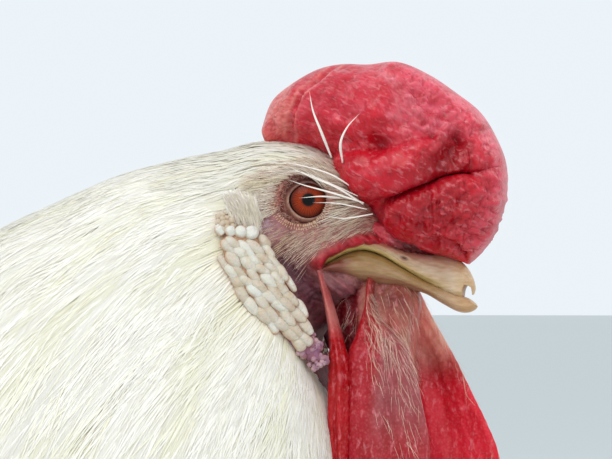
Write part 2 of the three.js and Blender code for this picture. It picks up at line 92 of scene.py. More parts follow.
world = bpy.data.worlds.new("overcast")
world.use_nodes = True
world.node_tree.nodes["Background"].inputs["Color"].default_value = (0.84, 0.9, 0.945, 1.0)
world.node_tree.nodes["Background"].inputs["Strength"].default_value = 1.0
bpy.context.scene.world = world


def shader(name, **sockets):
    """A new material and its Principled shader, with the named sockets set to the given values."""
    made = bpy.data.materials.new(name)
    made.use_nodes = True
    principled = made.node_tree.nodes["Principled BSDF"]
    for socket, value in sockets.items():
        principled.inputs[socket.replace("_", " ")].default_value = value
    return made, principled.inputs


def node(material, kind, inputs=None, **settings):
    """A node added to a material, with its settings and its inputs' values or links."""
    made = material.node_tree.nodes.new(kind)
    for key, value in settings.items():
        setattr(made, key, value)
    for key, value in (inputs or {}).items():
        if isinstance(value, bpy.types.NodeSocket):
            material.node_tree.links.new(value, made.inputs[key])
        else:
            made.inputs[key].default_value = value
    return made


def join(material, source, target):
    """Links one socket to another."""
    material.node_tree.links.new(source, target)


def mix(material, share, first, second, way="MIX"):
    """The colour socket of a mix of two colours by share."""
    colours = {0: share, 6: first, 7: second}
    return node(material, "ShaderNodeMix", colours, data_type="RGBA", blend_type=way).outputs[2]


def colour(red, green, blue):
    """A colour given as it looks on a screen, from 0 to 255, as the linear values that shaders use."""
    value = np.array([red, green, blue]) / 255
    return np.where(value <= 0.04045, value / 12.92, ((value + 0.055) / 1.055) ** 2.4)


def paint(red, green, blue):
    """The same colour with full cover, for a shader's socket."""
    return (*colour(red, green, blue), 1.0)


floor_paint, floor_sockets = shader("floor_paint", Roughness=0.9)
mottle = node(floor_paint, "ShaderNodeTexNoise", {"Scale": 2.5, "Detail": 4.0})
floor_tone = mix(floor_paint, mottle.outputs["Fac"], paint(206, 212, 212), paint(216, 221, 221))
join(floor_paint, floor_tone, floor_sockets["Base Color"])

FLOOR_HALF = 60.0
floor_mesh = bpy.data.meshes.new("floor")
floor_corners = [(x, y, 0.0) for x, y in ((-1, -1), (1, -1), (1, 1), (-1, 1))]
floor_mesh.from_pydata([(x * FLOOR_HALF, y * FLOOR_HALF, z) for x, y, z in floor_corners], [], [(0, 1, 2, 3)])
floor_mesh.materials.append(floor_paint)
floor = bpy.data.objects.new("floor", floor_mesh)
bpy.context.scene.collection.objects.link(floor)

# ---- Skin of the head, neck and trunk ----
# One thin skin over the whole bird. It is bare and wrinkled on the face, with a hole at each eye and a
# fold at each corner of the mouth, and lies under the feathers everywhere else. All shapes are written
# in millimetres from a point midway between the eyes, with +x forward and +z up.

BODY = [  # upper end x, z; lower end x, z; half width; how far the widest place lies up; squareness
    (22, -9, 12, -24, 6.5, 0.1, 0.1),
    (18, -2.5, 9, -27, 9.5, 0.2, 0.25),
    (12.5, 6, 6, -30, 12.5, 0.25, 0.35),
    (5, 12.8, 3, -33.5, 14.6, 0.25, 0.35),
    (-4, 15.8, 1, -37, 16, 0.2, 0.3),
    (-14, 16.4, 1, -42, 17.4, 0.15, 0.2),
    (-24, 14.2, 4, -48, 20, 0.1, 0.2),
    (-37, 11.8, 8, -56, 24, 0, 0.25),
    (-52, 8.2, 10.5, -67, 29.5, 0, 0.25),
    (-70, 1.2, 12.5, -82, 36, 0, 0.2),
    (-89, -7, 15, -101, 43.5, 0, 0.15),
    (-108, -19, 18, -123, 51.5, 0, 0.1),
    (-126, -36, 19, -147, 58, 0, 0.05),
    (-144, -55, 12, -177, 63, 0, 0),
    (-163, -72, -11, -208, 66, 0.05, 0),
    (-187, -83, -52, -232, 66, 0.1, 0),
    (-211, -86, -100, -240, 60, 0.15, 0),
    (-234, -81, -151, -226, 50, 0.15, 0),
    (-254, -70, -194, -195, 38, 0.1, 0),
    (-272, -54, -230, -158, 26, 0, 0),
    (-288, -36, -260, -122, 16, 0, 0),
    (-301, -22, -284, -92, 8, 0, 0),
]
BODY_LAST = len(BODY) - 1
NAPE = 6.3  # the station where the head's short feathers give way to hackles


def track(stations, u):
    """Rows of numbers joined by cubics whose slopes come from the rows on either side, read at u."""
    rows = np.asarray(stations, float)
    rows = np.vstack([2 * rows[0] - rows[1], rows, 2 * rows[-1] - rows[-2]])
    u = np.clip(np.asarray(u, float), 0, len(rows) - 3)
    first = np.minimum(u.astype(int), len(rows) - 4)
    t = (u - first)[..., None]
    before, start, end, after = (rows[first + k] for k in range(4))
    leaving, arriving = (end - before) / 2, (after - start) / 2
    bend = 3 * (end - start) - 2 * leaving - arriving
    return start + leaving * t + bend * t**2 + (2 * (start - end) + leaving + arriving) * t**3


def signed_power(value, power):
    """The value's size raised to a power, with its sign kept."""
    return np.sign(value) * np.abs(value) ** power


def plumage(u, a, grow=0.0):
    """The bird's outer form: at station u, an oval between the section's two ends, swept by angle a
    from the upper end towards the left, made squarer by a power, and moved outwards by grow."""
    bx, bz, fx, fz, half, bias, square = np.moveaxis(track(BODY, u), -1, 0)
    reach = np.hypot(bx - fx, bz - fz) / 2
    tall = signed_power(np.cos(a), 1 - square) * reach
    wide = signed_power(np.sin(a), 1 - square) * (1 + bias * np.cos(a)) * half
    size = np.maximum(np.hypot(tall, wide), 1e-9)
    scale = (size + grow) / size
    up_x, up_z = (bx - fx) / (2 * reach), (bz - fz) / (2 * reach)
    x = (bx + fx) / 2 + up_x * tall * scale
    z = (bz + fz) / 2 + up_z * tall * scale
    return np.stack([x, wide * scale, z], -1)


def smooth(value, low, high):
    """0 below low, 1 above high, and an easy S between them."""
    t = np.clip((value - low) / (high - low), 0, 1)
    return t * t * (3 - 2 * t)


def bell(distance, width):
    """A round hump, 1 at no distance and near 0 past twice the width."""
    return np.exp(-((distance / width) ** 2))


def near(line, x, z):
    """How far spots seen from the side are from a line through points, and how far along it they lie."""
    line = np.asarray(line, float)
    best, share = np.full(np.shape(x), np.inf), np.zeros(np.shape(x))
    for i, ((ax, az), (bx, bz)) in enumerate(zip(line[:-1], line[1:])):
        t = np.clip(((x - ax) * (bx - ax) + (z - az) * (bz - az)) / ((bx - ax) ** 2 + (bz - az) ** 2), 0, 1)
        d = np.hypot(x - ax - t * (bx - ax), z - az - t * (bz - az))
        share = np.where(d < best, (i + t) / (len(line) - 1), share)
        best = np.minimum(best, d)
    return best, share


def line_x(line, z):
    """Where a line of points that falls as it runs lies at height z."""
    x, height = np.array(line, float).T[:2]
    return np.interp(-z, -height, x)


def sweep(low, high, rows, around):
    """A grid of even steps from low to high, by angles all the way round."""
    return np.meshgrid(np.linspace(low, high, rows), np.arange(around) * 2 * np.pi / around, indexing="ij")


def grid_normals(grid, wrap=True):
    """The unit normal at each point of a grid of rings, from the slopes along and around it."""
    along = np.gradient(grid, axis=0)
    if wrap:
        around = (np.roll(grid, -1, axis=1) - np.roll(grid, 1, axis=1)) / 2
    else:
        around = np.gradient(grid, axis=1)
    normal = np.cross(around, along)
    return normal / np.maximum(np.linalg.norm(normal, axis=-1, keepdims=True), 1e-9)


def swept_volume(points, quads):
    """Six times the volume inside a form's quads, below 0 where they face inwards."""
    a, b, c, d = (points[quads[:, k]] for k in range(4))
    return np.einsum("ij,ij->", a, np.cross(b, c) + np.cross(c, d))


def closed(grid):
    """The points and faces of a closed form: quads between its rings, and a fan over each end."""
    rings, around = grid.shape[:2]
    points = np.vstack([grid.reshape(-1, 3), grid[0].mean(0), grid[-1].mean(0)])
    a = np.arange(around)
    b = (a + 1) % around
    step = np.arange(rings - 1)[:, None] * around
    quads = np.stack([step + a, step + b, step + around + b, step + around + a], -1).reshape(-1, 4)
    last, pole = (rings - 1) * around, np.full(around, rings * around)
    fans = np.concatenate([np.stack([b, a, pole], -1), np.stack([last + a, last + b, pole + 1], -1)])
    if swept_volume(points, quads) > 0:
        return points, [quads, fans]
    return points, [quads[:, ::-1], fans[:, ::-1]]


def together(*forms):
    """Several forms' points and faces as one."""
    points, faces, count = [], [], 0
    for form_points, form_faces in forms:
        points.append(form_points)
        faces += [part + count for part in form_faces]
        count += len(form_points)
    return np.vstack(points), faces


def add_piece(name, form, material, slot, *nodes, maps=(), tint=None):
    """A form in millimetres from the eyes' middle as one smooth object that rides on the bird, with
    UV maps and a colour given for each point, standing for the named solids."""
    points, faces = form
    mesh = bpy.data.meshes.new(name)
    corners = np.concatenate([part.ravel() for part in faces])
    sizes = np.concatenate([np.full(len(part), part.shape[1]) for part in faces])
    mesh.vertices.add(len(points))
    mesh.vertices.foreach_set("co", (points * MM + EYE).astype(np.float32).ravel())
    mesh.loops.add(len(corners))
    mesh.loops.foreach_set("vertex_index", corners.astype(np.int32))
    mesh.polygons.add(len(sizes))
    mesh.polygons.foreach_set("loop_start", (np.cumsum(sizes) - sizes).astype(np.int32))
    mesh.polygons.foreach_set("use_smooth", np.ones(len(sizes), bool))
    for map_name, values in maps:
        layer = mesh.uv_layers.new(name=map_name)
        layer.data.foreach_set("uv", values[corners].astype(np.float32).ravel())
    if tint is not None:
        shades = mesh.color_attributes.new("tint", "FLOAT_COLOR", "POINT")
        shades.data.foreach_set("color",
                                np.hstack([tint, np.ones((len(tint), 1))]).astype(np.float32).ravel())
    mesh.update(calc_edges=True)
    mesh.materials.append(material)
    piece = bpy.data.objects.new(name, mesh)
    bpy.context.scene.collection.objects.link(piece)
    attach(piece, "root")
    if nodes:
        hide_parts(*nodes)
    return piece


def coat_depth(u, a):
    """How far the skin lies under the feathers' outer form: none on the face, a thin layer on the
    crown, and more down the neck and over the trunk."""
    crown = smooth(np.cos(a), 0.55, 0.85) * smooth(u, 2.2, 4.5) * 2.2
    full = 3 + 8 * smooth(u, NAPE, 9.5)
    full = np.maximum(crown, full * smooth(u, NAPE - 0.6, NAPE + 0.5))
    thin = track(BODY, u)[..., 4] * 0.45
    return np.minimum(np.where(u < NAPE - 0.5, crown, full), thin)


# Lines on the face: the red fold over the mouth, the mouth, the upper bill's rim, and the hollow between
# the ear lobe and the mouth.
GAPE = [(4.4, -16.6), (7.2, -14.2), (11.2, -11.5), (15.4, -10.2), (19.2, -10.9), (23, -12.4)]
MOUTH = [(6, -18.6), (12, -16.8), (18, -18), (24, -21)]
RIM = [(4.6, -17.6), (8.7, -15.4), (11.9, -13.9), (15.8, -13.2), (20.6, -14.4), (25, -16.5)]
HOLLOW = [(-3, -17), (2, -24), (5, -31)]
JOWL = (9.5, -22.3)  # a soft bulge under the mouth's corner


def face_relief(x, z):
    """How far the face's skin stands out: sunk to a hole at the eye, with a brow over it and a bag
    under it, a fold along the mouth, a furrow at its corner, and a hollow before the lobe."""
    r = np.hypot(x, z)
    angle = np.arctan2(z, x)
    hole = -9.0 * (1 - smooth(r, 5.0, 6.8))
    brow = 0.4 * bell(r - 8.6, 1.9) * smooth(np.sin(angle), -0.1, 0.7)
    bag = 0.7 * bell(r - 7.6, 1.1) * smooth(-np.sin(angle), 0.0, 0.6)
    socket = -0.9 * bell(r - 6.4, 1.5)
    gape, along = near(GAPE, x, z)
    fold = (1.7 + 0.35 * np.sin(along * 31) + 0.2 * np.sin(along * 57 + z * 2)) * bell(gape, 1.45)
    furrow = -3.2 * bell(near(MOUTH, x, z)[0], 2.0) * smooth(x, 4.5, 8)
    furrow = furrow - 2.6 * bell(near(RIM, x, z)[0], 1.2) * smooth(x, 4, 7)
    hollow = -3.2 * bell(near(HOLLOW, x, z)[0], 4.6)
    jowl = 2.4 * bell(np.hypot((x - JOWL[0]) * 0.8, z - JOWL[1]), 3.4)
    jowl = jowl + 0.3 * np.sin((x + z) * 1.9) * bell(np.hypot(x - JOWL[0], z - JOWL[1]), 5.0)
    ear = -1.2 * bell(np.hypot(x + 12.5, z - 1.5), 3.2)
    ripple = 0.2 * np.sin(x * 2.3 + 1.7 * np.sin(z * 0.9)) * np.sin(z * 2.9 + 1.3 * np.sin(x * 0.7))
    return hole + brow + bag + socket + fold + furrow + hollow + jowl + ear + ripple


HEAD_ROWS, TRUNK_ROWS, SKIN_AROUND = 230, 45, 300
skin_u = np.concatenate([np.linspace(0, 6.8, HEAD_ROWS, endpoint=False),
                         np.linspace(6.8, BODY_LAST, TRUNK_ROWS)])
skin_a = np.arange(SKIN_AROUND) * 2 * np.pi / SKIN_AROUND
skin_u, skin_a = np.meshgrid(skin_u, skin_a, indexing="ij")
outer = plumage(skin_u, skin_a)
skin = plumage(skin_u, skin_a, -coat_depth(skin_u, skin_a))
flank_share = smooth(np.abs(outer[..., 1]) / track(BODY, skin_u)[..., 4], 0.35, 0.75)
bare = flank_share * (1 - smooth(skin_u, 6.0, 6.8))
skin += grid_normals(skin) * (bare * face_relief(outer[..., 0], outer[..., 2]))[..., None]

THIGH = [  # x, z, distance from the middle plane, half depth, half width
    (-92, -190, 34, 40, 24), (-96, -218, 37, 37, 23), (-104, -243, 39, 27, 18.5), (-112, -262, 40.5, 17, 13),
    (-117, -276, 41.5, 10.5, 9.5), (-119, -283, 42, 7.5, 7.2),
]


def thigh_core(side):
    """The thigh's skin: an oval at each station, thinner than the coat's form by a share of its size."""
    u, a = sweep(0, len(THIGH) - 1, 40, 60)
    x, z, out, deep, wide = np.moveaxis(track(THIGH, u), -1, 0)
    thinner = 0.8 + 0.16 * smooth(u, 3.5, 5)
    return np.stack([x + deep * thinner * np.cos(a), side * (out + wide * thinner * np.sin(a)), z], -1)


FACE_PINK = colour(186, 130, 116)
MAUVE = colour(174, 124, 138)
RAW_RED = colour(184, 10, 34)
BLUSH = colour(186, 76, 82)
PURPLE = colour(112, 46, 66)
WINE = colour(112, 14, 28)
JOWL_PINK = colour(148, 84, 92)
DOWN_WHITE = colour(246, 240, 226)
LILAC = colour(200, 178, 196)
LID_PINK = colour(164, 108, 92)
THROAT_RED = colour(150, 22, 36)


def washer(base, shape):
    """A surface's colour, at first all base, and a function that washes another over it by a share."""
    tone = np.broadcast_to(base, (*shape, 3)).copy()

    def wash(shade, share):
        tone[:] = tone + (shade - tone) * np.clip(share, 0, 1)[..., None]

    return tone, wash


def per_point(tone):
    """A grid's colours as rows for the points of its closed form, its two poles included."""
    tone = tone.reshape(-1, 3)
    return np.vstack([tone, tone[:1], tone[-1:]])


def face_tint(x, z, u, a):
    """The skin's colour: beige pink on the face, mauve towards the ear, blushed behind the eye, red along
    the mouth and at the ear, purple in the hollow and creamy under the feathers."""
    tone, wash = washer(FACE_PINK, x.shape)
    flush = 0.5 + 0.5 * np.sin(x * 1.9 + 1.6 * np.sin(z * 1.3)) * np.sin(z * 1.7 + 1.9 * np.sin(x * 1.1))
    wash(MAUVE, 0.7 * bell(np.hypot((x + 9) / 1.2, z + 6), 5))
    wash(BLUSH, (0.35 + 0.5 * flush) * bell(np.hypot((x + 7.5) / 0.8, z + 0.5), 4))
    wash(BLUSH, 0.45 * flush * bell(np.hypot(x - 2, z + 9), 8))
    wash(BLUSH, 0.4 * flush * bell(np.hypot((x - 13) * 0.8, z + 4), 5))
    wash(LID_PINK, bell(np.hypot(x, z) - 6.0, 1.5))
    wash(PURPLE, 0.95 * bell(near(HOLLOW, x, z)[0], 5.6))
    wash(WINE, smooth(-z, 24, 31) * smooth(x, 1, 5))
    wash(PURPLE, 0.8 * smooth(-z, 34, 42))
    wash(LILAC, 0.8 * smooth(flush, 0.55, 0.75) * bell(np.hypot((x + 9.5) / 0.8, z + 4.5), 4.5))
    wash(JOWL_PINK, bell(np.hypot((x - JOWL[0]) * 0.8, z - JOWL[1] + 0.5), 4.2))
    wash(RAW_RED, 1.15 * bell(near(GAPE, x, z)[0], 1.9))
    wash(RAW_RED, 0.95 * bell(np.hypot((x + 15.2) / 2.6, z - 3.1), 1.2))
    wash(DOWN_WHITE, smooth(u, 5.9, 6.5) * smooth(np.cos(a), -1.2, -0.6))
    wash(DOWN_WHITE, smooth(np.cos(a), 0.45, 0.75) * smooth(u, 1.5, 2.5))
    wash(THROAT_RED, smooth(x, -3, 1) * smooth(-z, 35, 41) * (1 - smooth(-z, 62, 74)))
    return tone


skin_form = together(closed(skin), closed(thigh_core(-1)), closed(thigh_core(1)))
skin_tint = per_point(face_tint(outer[..., 0], outer[..., 2], skin_u, skin_a))
skin_tint = np.vstack([skin_tint, np.broadcast_to(DOWN_WHITE, (len(skin_form[0]) - len(skin_tint), 3))])


def place_on(material):
    """The socket that gives each point's place on the object."""
    return node(material, "ShaderNodeTexCoord").outputs["Object"]


def own_tint(material):
    """The socket that gives the mesh's own colour at each point."""
    return node(material, "ShaderNodeAttribute", attribute_name="tint").outputs["Color"]


def noise(material, place, scale, detail, **more):
    """The value of soft noise at a place."""
    inputs = {"Vector": place, "Scale": scale, "Detail": detail, **more}
    return node(material, "ShaderNodeTexNoise", inputs).outputs["Fac"]


def cells(material, place, scale):
    """How far a place lies from the middle of its cell, in a pattern of uneven cells."""
    return node(material, "ShaderNodeTexVoronoi", {"Vector": place, "Scale": scale}).outputs["Distance"]


def ramp(material, value, low, high, bottom=0.0, top=1.0):
    """A value spread evenly from bottom at low to top at high, and level beyond them."""
    inputs = {"Value": value, "From Min": low, "From Max": high, "To Min": bottom, "To Max": top}
    return node(material, "ShaderNodeMapRange", inputs).outputs[0]


def bump(material, height, strength, distance, **more):
    """The normal of a surface raised by a height."""
    inputs = {"Height": height, "Strength": strength, "Distance": distance, **more}
    return node(material, "ShaderNodeBump", inputs).outputs[0]


def dimmed(material, tone, share):
    """A colour socket multiplied by a share of each colour."""
    return mix(material, 1.0, tone, (*share, 1.0), "MULTIPLY")


def flesh(name, mottling=(0.52, 0.42, 0.44), **sockets):
    """Soft living skin: its own tint, broken by fine mottling that is darker by a share of each colour.
    Down, which is known by its paler blue, stays even."""
    made, inputs = shader(name, Subsurface_Scale=0.004, **sockets)
    place, tint = place_on(made), own_tint(made)
    spread = ramp(made, noise(made, place, 420.0, 5.0), 0.35, 0.7)
    blue = node(made, "ShaderNodeSeparateColor", {"Color": tint}).outputs["Blue"]
    downy = ramp(made, blue, 0.64, 0.68)
    even = node(made, "ShaderNodeMath", {0: spread, 1: downy}, operation="MAXIMUM").outputs[0]
    join(made, mix(made, even, dimmed(made, tint, mottling), tint), inputs["Base Color"])
    return made, inputs, place


face_skin, face_sockets, face_place = flesh("face_skin", Roughness=0.52, Subsurface_Weight=0.25)
pore_bump = bump(face_skin, cells(face_skin, face_place, 1300.0), 0.5, 0.0002)
face_bump = bump(face_skin, noise(face_skin, face_place, 700.0, 4.0), 0.6, 0.0004, Normal=pore_bump)
join(face_skin, face_bump, face_sockets["Normal"])
skin_nodes = ("head", "neck", "trunk", "thigh_right", "thigh_left")
add_piece("skin", skin_form, face_skin, "face_skin", *skin_nodes, tint=skin_tint)

# ---- Eyes and lids ----
# Each eyeball is set in the side of the head and looks out and a little forward. The iris is orange
# with fine fibres and a dark rim, under a wet cornea. A thin puckered lid hugs the ball all round.

EYE_RADIUS, EYE_OUT = 7.0, EYE_SIDE / MM
GAZE = np.radians(14)
PUPIL, IRIS, OPENING = 1.6, 4.62, 4.62
LID_ROWS, LID_TURNS = 44, 140
SIDES = ((-1, "right"), (1, "left"))


def side_spot(x, z, first=0.0, last=14.0):
    """The station and angle on the right side at which the outer form is seen at x, z: the station is
    halved in on from first to last until its chord passes through the spot, and the height up the chord
    gives the angle."""
    low, high = np.full(np.shape(x), first), np.full(np.shape(x), last)
    for _ in range(30):
        u = (low + high) / 2
        bx, bz, fx, fz, _, _, square = np.moveaxis(track(BODY, u), -1, 0)
        behind = (bx - fx) * (z - fz) - (bz - fz) * (x - fx) > 0
        low, high = np.where(behind, u, low), np.where(behind, high, u)
    length = np.hypot(bx - fx, bz - fz)
    up = ((x - (bx + fx) / 2) * (bx - fx) + (z - (bz + fz) / 2) * (bz - fz)) * 2 / length**2
    return u, 2 * np.pi - np.arccos(signed_power(np.clip(up, -0.999, 0.999), 1 / (1 - square)))


def eye_axes(side):
    """The eye's middle, and its axes forward, up and outward, on the side given as -1 or 1."""
    middle = np.array([0.65, side * EYE_OUT, -0.3])
    forward = np.array([np.cos(GAZE), -side * np.sin(GAZE), 0.0])
    return middle, forward, np.array([0.0, 0.0, 1.0]), np.array([np.sin(GAZE), side * np.cos(GAZE), 0.0])


def between(first, second, share):
    """The colour at a share of the way from the first to the second."""
    return first + (second - first) * np.asarray(share)[..., None]


def eyeball(side):
    """A ball as rings round its gaze, with the iris's colours worked out from the distance to it, and a
    painted shadow of the upper lid darkening the iris's top.
    """
    middle, forward, up, gaze = eye_axes(side)
    share, turn = sweep(0.004, 0.996, 80, 120)
    lean = np.pi * share**1.6
    ring = np.cos(turn)[..., None] * forward + np.sin(turn)[..., None] * up
    ball = middle + EYE_RADIUS * (np.cos(lean)[..., None] * gaze + np.sin(lean)[..., None] * ring)
    away = EYE_RADIUS * np.sin(lean)
    fibres = 0.5 + 0.25 * np.sin(41 * turn + 2.5 * np.sin(5 * turn))
    fibres = fibres + 0.25 * np.sin(67 * turn + 3 * np.sin(9 * turn) + away)
    amber = between(colour(98, 22, 2), colour(178, 60, 6), fibres)
    # Painted shadow of the upper lid: the iris darkens towards its top.
    lid_shadow_dim = 1 - 0.45 * smooth(np.sin(turn) * away, 0.8, 4.2)
    tone = amber * ((1.0 + 0.25 * bell(away - 2.4, 0.5)) * lid_shadow_dim)[..., None]
    for shade, cover in (
        (colour(78, 26, 12), 0.75 * smooth(away, IRIS - 1.4, IRIS - 0.3)),
        (colour(26, 16, 13), smooth(away, IRIS - 0.28, IRIS - 0.05)),
        (colour(60, 26, 14), 0.6 * bell(away - PUPIL, 0.28)),
        (colour(4, 4, 5), 1 - smooth(away, PUPIL - 0.12, PUPIL + 0.12)),
    ):
        tone += (shade - tone) * cover[..., None]
    tone = np.where((lean > np.pi / 2)[..., None], colour(40, 30, 28), tone)
    return closed(ball), per_point(tone)


def waves(x, y, seed):
    """A smooth random field between about -1 and 1, from a few sine waves of different directions."""
    turns = np.random.default_rng(seed).uniform(0, 2 * np.pi, (5, 2))
    swells = [np.sin((x * np.cos(t) + y * np.sin(t)) * (1 + 0.45 * i) + p) for i, (t, p) in enumerate(turns)]
    return sum(swells) / 2.6


def lid(side):
    """A ring of skin from a tucked edge on the ball, over a rounded rim, out to the face's own skin, with
    ripples that run round the eye. Its colour has a painted shadow of the brow over the upper lid and
    painted shade at the tucked edge."""
    middle, forward, up, gaze = eye_axes(side)
    step, turn = sweep(0, 1, LID_ROWS, LID_TURNS)
    edge = OPENING - 0.35 * smooth(np.sin(turn), 0.1, 1.0) + 0.35 * np.abs(np.cos(turn)) ** 6
    away = edge + (9.2 - edge) * np.maximum(step - 0.06, 0) ** 1.15 / 0.94
    ball = np.sqrt(EYE_RADIUS**2 - np.minimum(away, 6.2) ** 2)
    rim = 0.75 * bell(away - edge - 0.5, 0.6)
    beyond = away - edge
    rings = np.sin(beyond * 2 * np.pi / 0.8 + 0.9 * np.sin(5 * turn) + 0.7 * np.sin(11 * turn))
    ripple = 0.06 * rings * smooth(beyond, 0.6, 1.4)
    notch = 0.07 * np.sin(turn * 46 + 2 * np.sin(turn * 7)) * bell(beyond - 1.6, 0.8)
    notch = notch + 0.1 * waves(away * 3.6, turn * 20, 83) * smooth(beyond, 0.6, 1.6)
    height = ball + rim + ripple + notch - 0.5 * (1 - smooth(step, 0.0, 0.06))
    spot = middle + np.stack([np.cos(turn) * away, np.sin(turn) * away, height],
                             -1) @ np.array([forward, up, gaze])
    u, a = side_spot(spot[..., 0], spot[..., 2])
    face = np.abs(plumage(u, a)[..., 1]) - 0.55 + ripple
    share = smooth(step, 0.3, 0.85)
    spot[..., 1] = side * (np.abs(spot[..., 1]) * (1 - share) + face * share - 0.9 * smooth(step, 0.9, 1.0))
    grid = np.concatenate([spot, spot[::-1] - 0.9 * gaze])
    speckle = 0.26 * waves(away * 3, turn * 12, 81) + 0.42 * waves(away * 5.5, turn * 26, 82)
    tone = colour(188, 130, 112) * (1 + speckle)[..., None]
    corner = bell(np.mod(turn + 0.1 + np.pi, 2 * np.pi) - np.pi, 0.3) * (1 - smooth(beyond, 0.8, 1.8))
    for shade, cover in (
        (colour(190, 158, 134), 0.9 * bell(beyond - 0.6, 0.4)),
        (colour(172, 62, 52), 0.6 * bell(beyond - 2.0, 1.0) * smooth(-np.cos(turn), 0.0, 0.8)),
        (colour(96, 44, 34), 0.75 * bell(beyond - 2.2, 1.0) * smooth(-np.sin(turn), -0.1, 0.4)),
        # Painted shadow of the brow over the upper lid.
        (colour(96, 48, 38), 0.92 * bell(beyond - 1.0, 1.3) * smooth(np.sin(turn), -0.15, 0.6)),
        # Painted shade in the crease where the lid's edge tucks against the ball.
        (colour(60, 28, 22), 1 - smooth(beyond, 0.0, 0.22)),
        (colour(66, 26, 22), corner),
    ):
        tone += (shade - tone) * cover[..., None]
    return grid, np.concatenate([tone, tone[::-1]]).reshape(-1, 3)


def hoop(grid):
    """The points and faces of a ring-shaped form: rings that close round, the last joined to the first."""
    rings, around = grid.shape[:2]
    i, j = np.meshgrid(np.arange(rings), np.arange(around), indexing="ij")
    corner = lambda down, on: (i + down) % rings * around + (j + on) % around
    quads = np.stack([corner(0, 0), corner(0, 1), corner(1, 1), corner(1, 0)], -1).reshape(-1, 4)
    points = grid.reshape(-1, 3)
    return points, [quads if swept_volume(points, quads) > 0 else quads[:, ::-1]]


wet = {"Coat_Weight": 0.35, "Coat_Roughness": 0.03, "Coat_IOR": 1.33}
iris_paint, iris_sockets = shader("eye", Roughness=0.5, Specular_IOR_Level=0.1, **wet)
iris_tint = own_tint(iris_paint)
iris_grain = noise(iris_paint, place_on(iris_paint), 2600.0, 3.0)
iris_dark = dimmed(iris_paint, iris_tint, (0.6, 0.55, 0.5))
join(iris_paint, mix(iris_paint, iris_grain, iris_dark, iris_tint), iris_sockets["Base Color"])
for side, label in SIDES:
    ball_form, ball_tint = eyeball(side)
    add_piece(f"eyeball_{label}", ball_form, iris_paint, "eye", f"eye_{label}", tint=ball_tint)
    lid_grid, lid_tint = lid(side)
    add_piece(f"lid_{label}", hoop(lid_grid), face_skin, "face_skin", tint=lid_tint)

# ---- Bill ----
# Two horny halves: the upper hooks over the lower and has a slit nostril on each side. The horn is
# ivory, yellow along the rims and at the root, with fine growth lines and a chipped tip.

UPPER_BILL = [  # x, top, bottom, half width
    (3.4, -13.5, -18.4, 12.2), (7, -11, -16, 12.7), (11, -9.4, -13.9, 11.5), (15, -9, -13.2, 9.9),
              (19.5, -9.8, -14.6, 8.4),
    (24.5, -11.8, -17.7, 7.3), (30, -13.2, -21.3, 6.1), (35, -14.2, -23.9, 5), (38.6, -15.6, -25.3, 3.8),
              (41, -17.8, -25.2, 2.8),
    (42.9, -21.4, -24.3, 1.6),
]
LOWER_BILL = [
    (3.4, -17.6, -19.6, 11.9), (7, -15.6, -19.4, 12.5), (11, -13.5, -20.8, 11.4), (15, -12.8, -22, 9.9),
    (19.5, -14.2, -22.6, 8.4), (24.5, -17.2, -22.9, 7.3), (30, -20.6, -24.4, 6.1), (34.5, -22.8, -27, 4.9),
    (38.4, -24.6, -29, 3.7), (41.2, -25.6, -29.2, 2.6), (43.4, -27.2, -28.2, 1.1),
]
BILL_LAST = len(UPPER_BILL) - 1
NOSTRIL = (25.4, -15.2)


def rounded_end(u, start, reach, least=0.0):
    """1 up to start, then a quarter circle's fall over reach, to no less than the root of least."""
    return np.sqrt(np.clip(1 - np.clip((u - start) / reach, 0, 1) ** 2, least, 1))


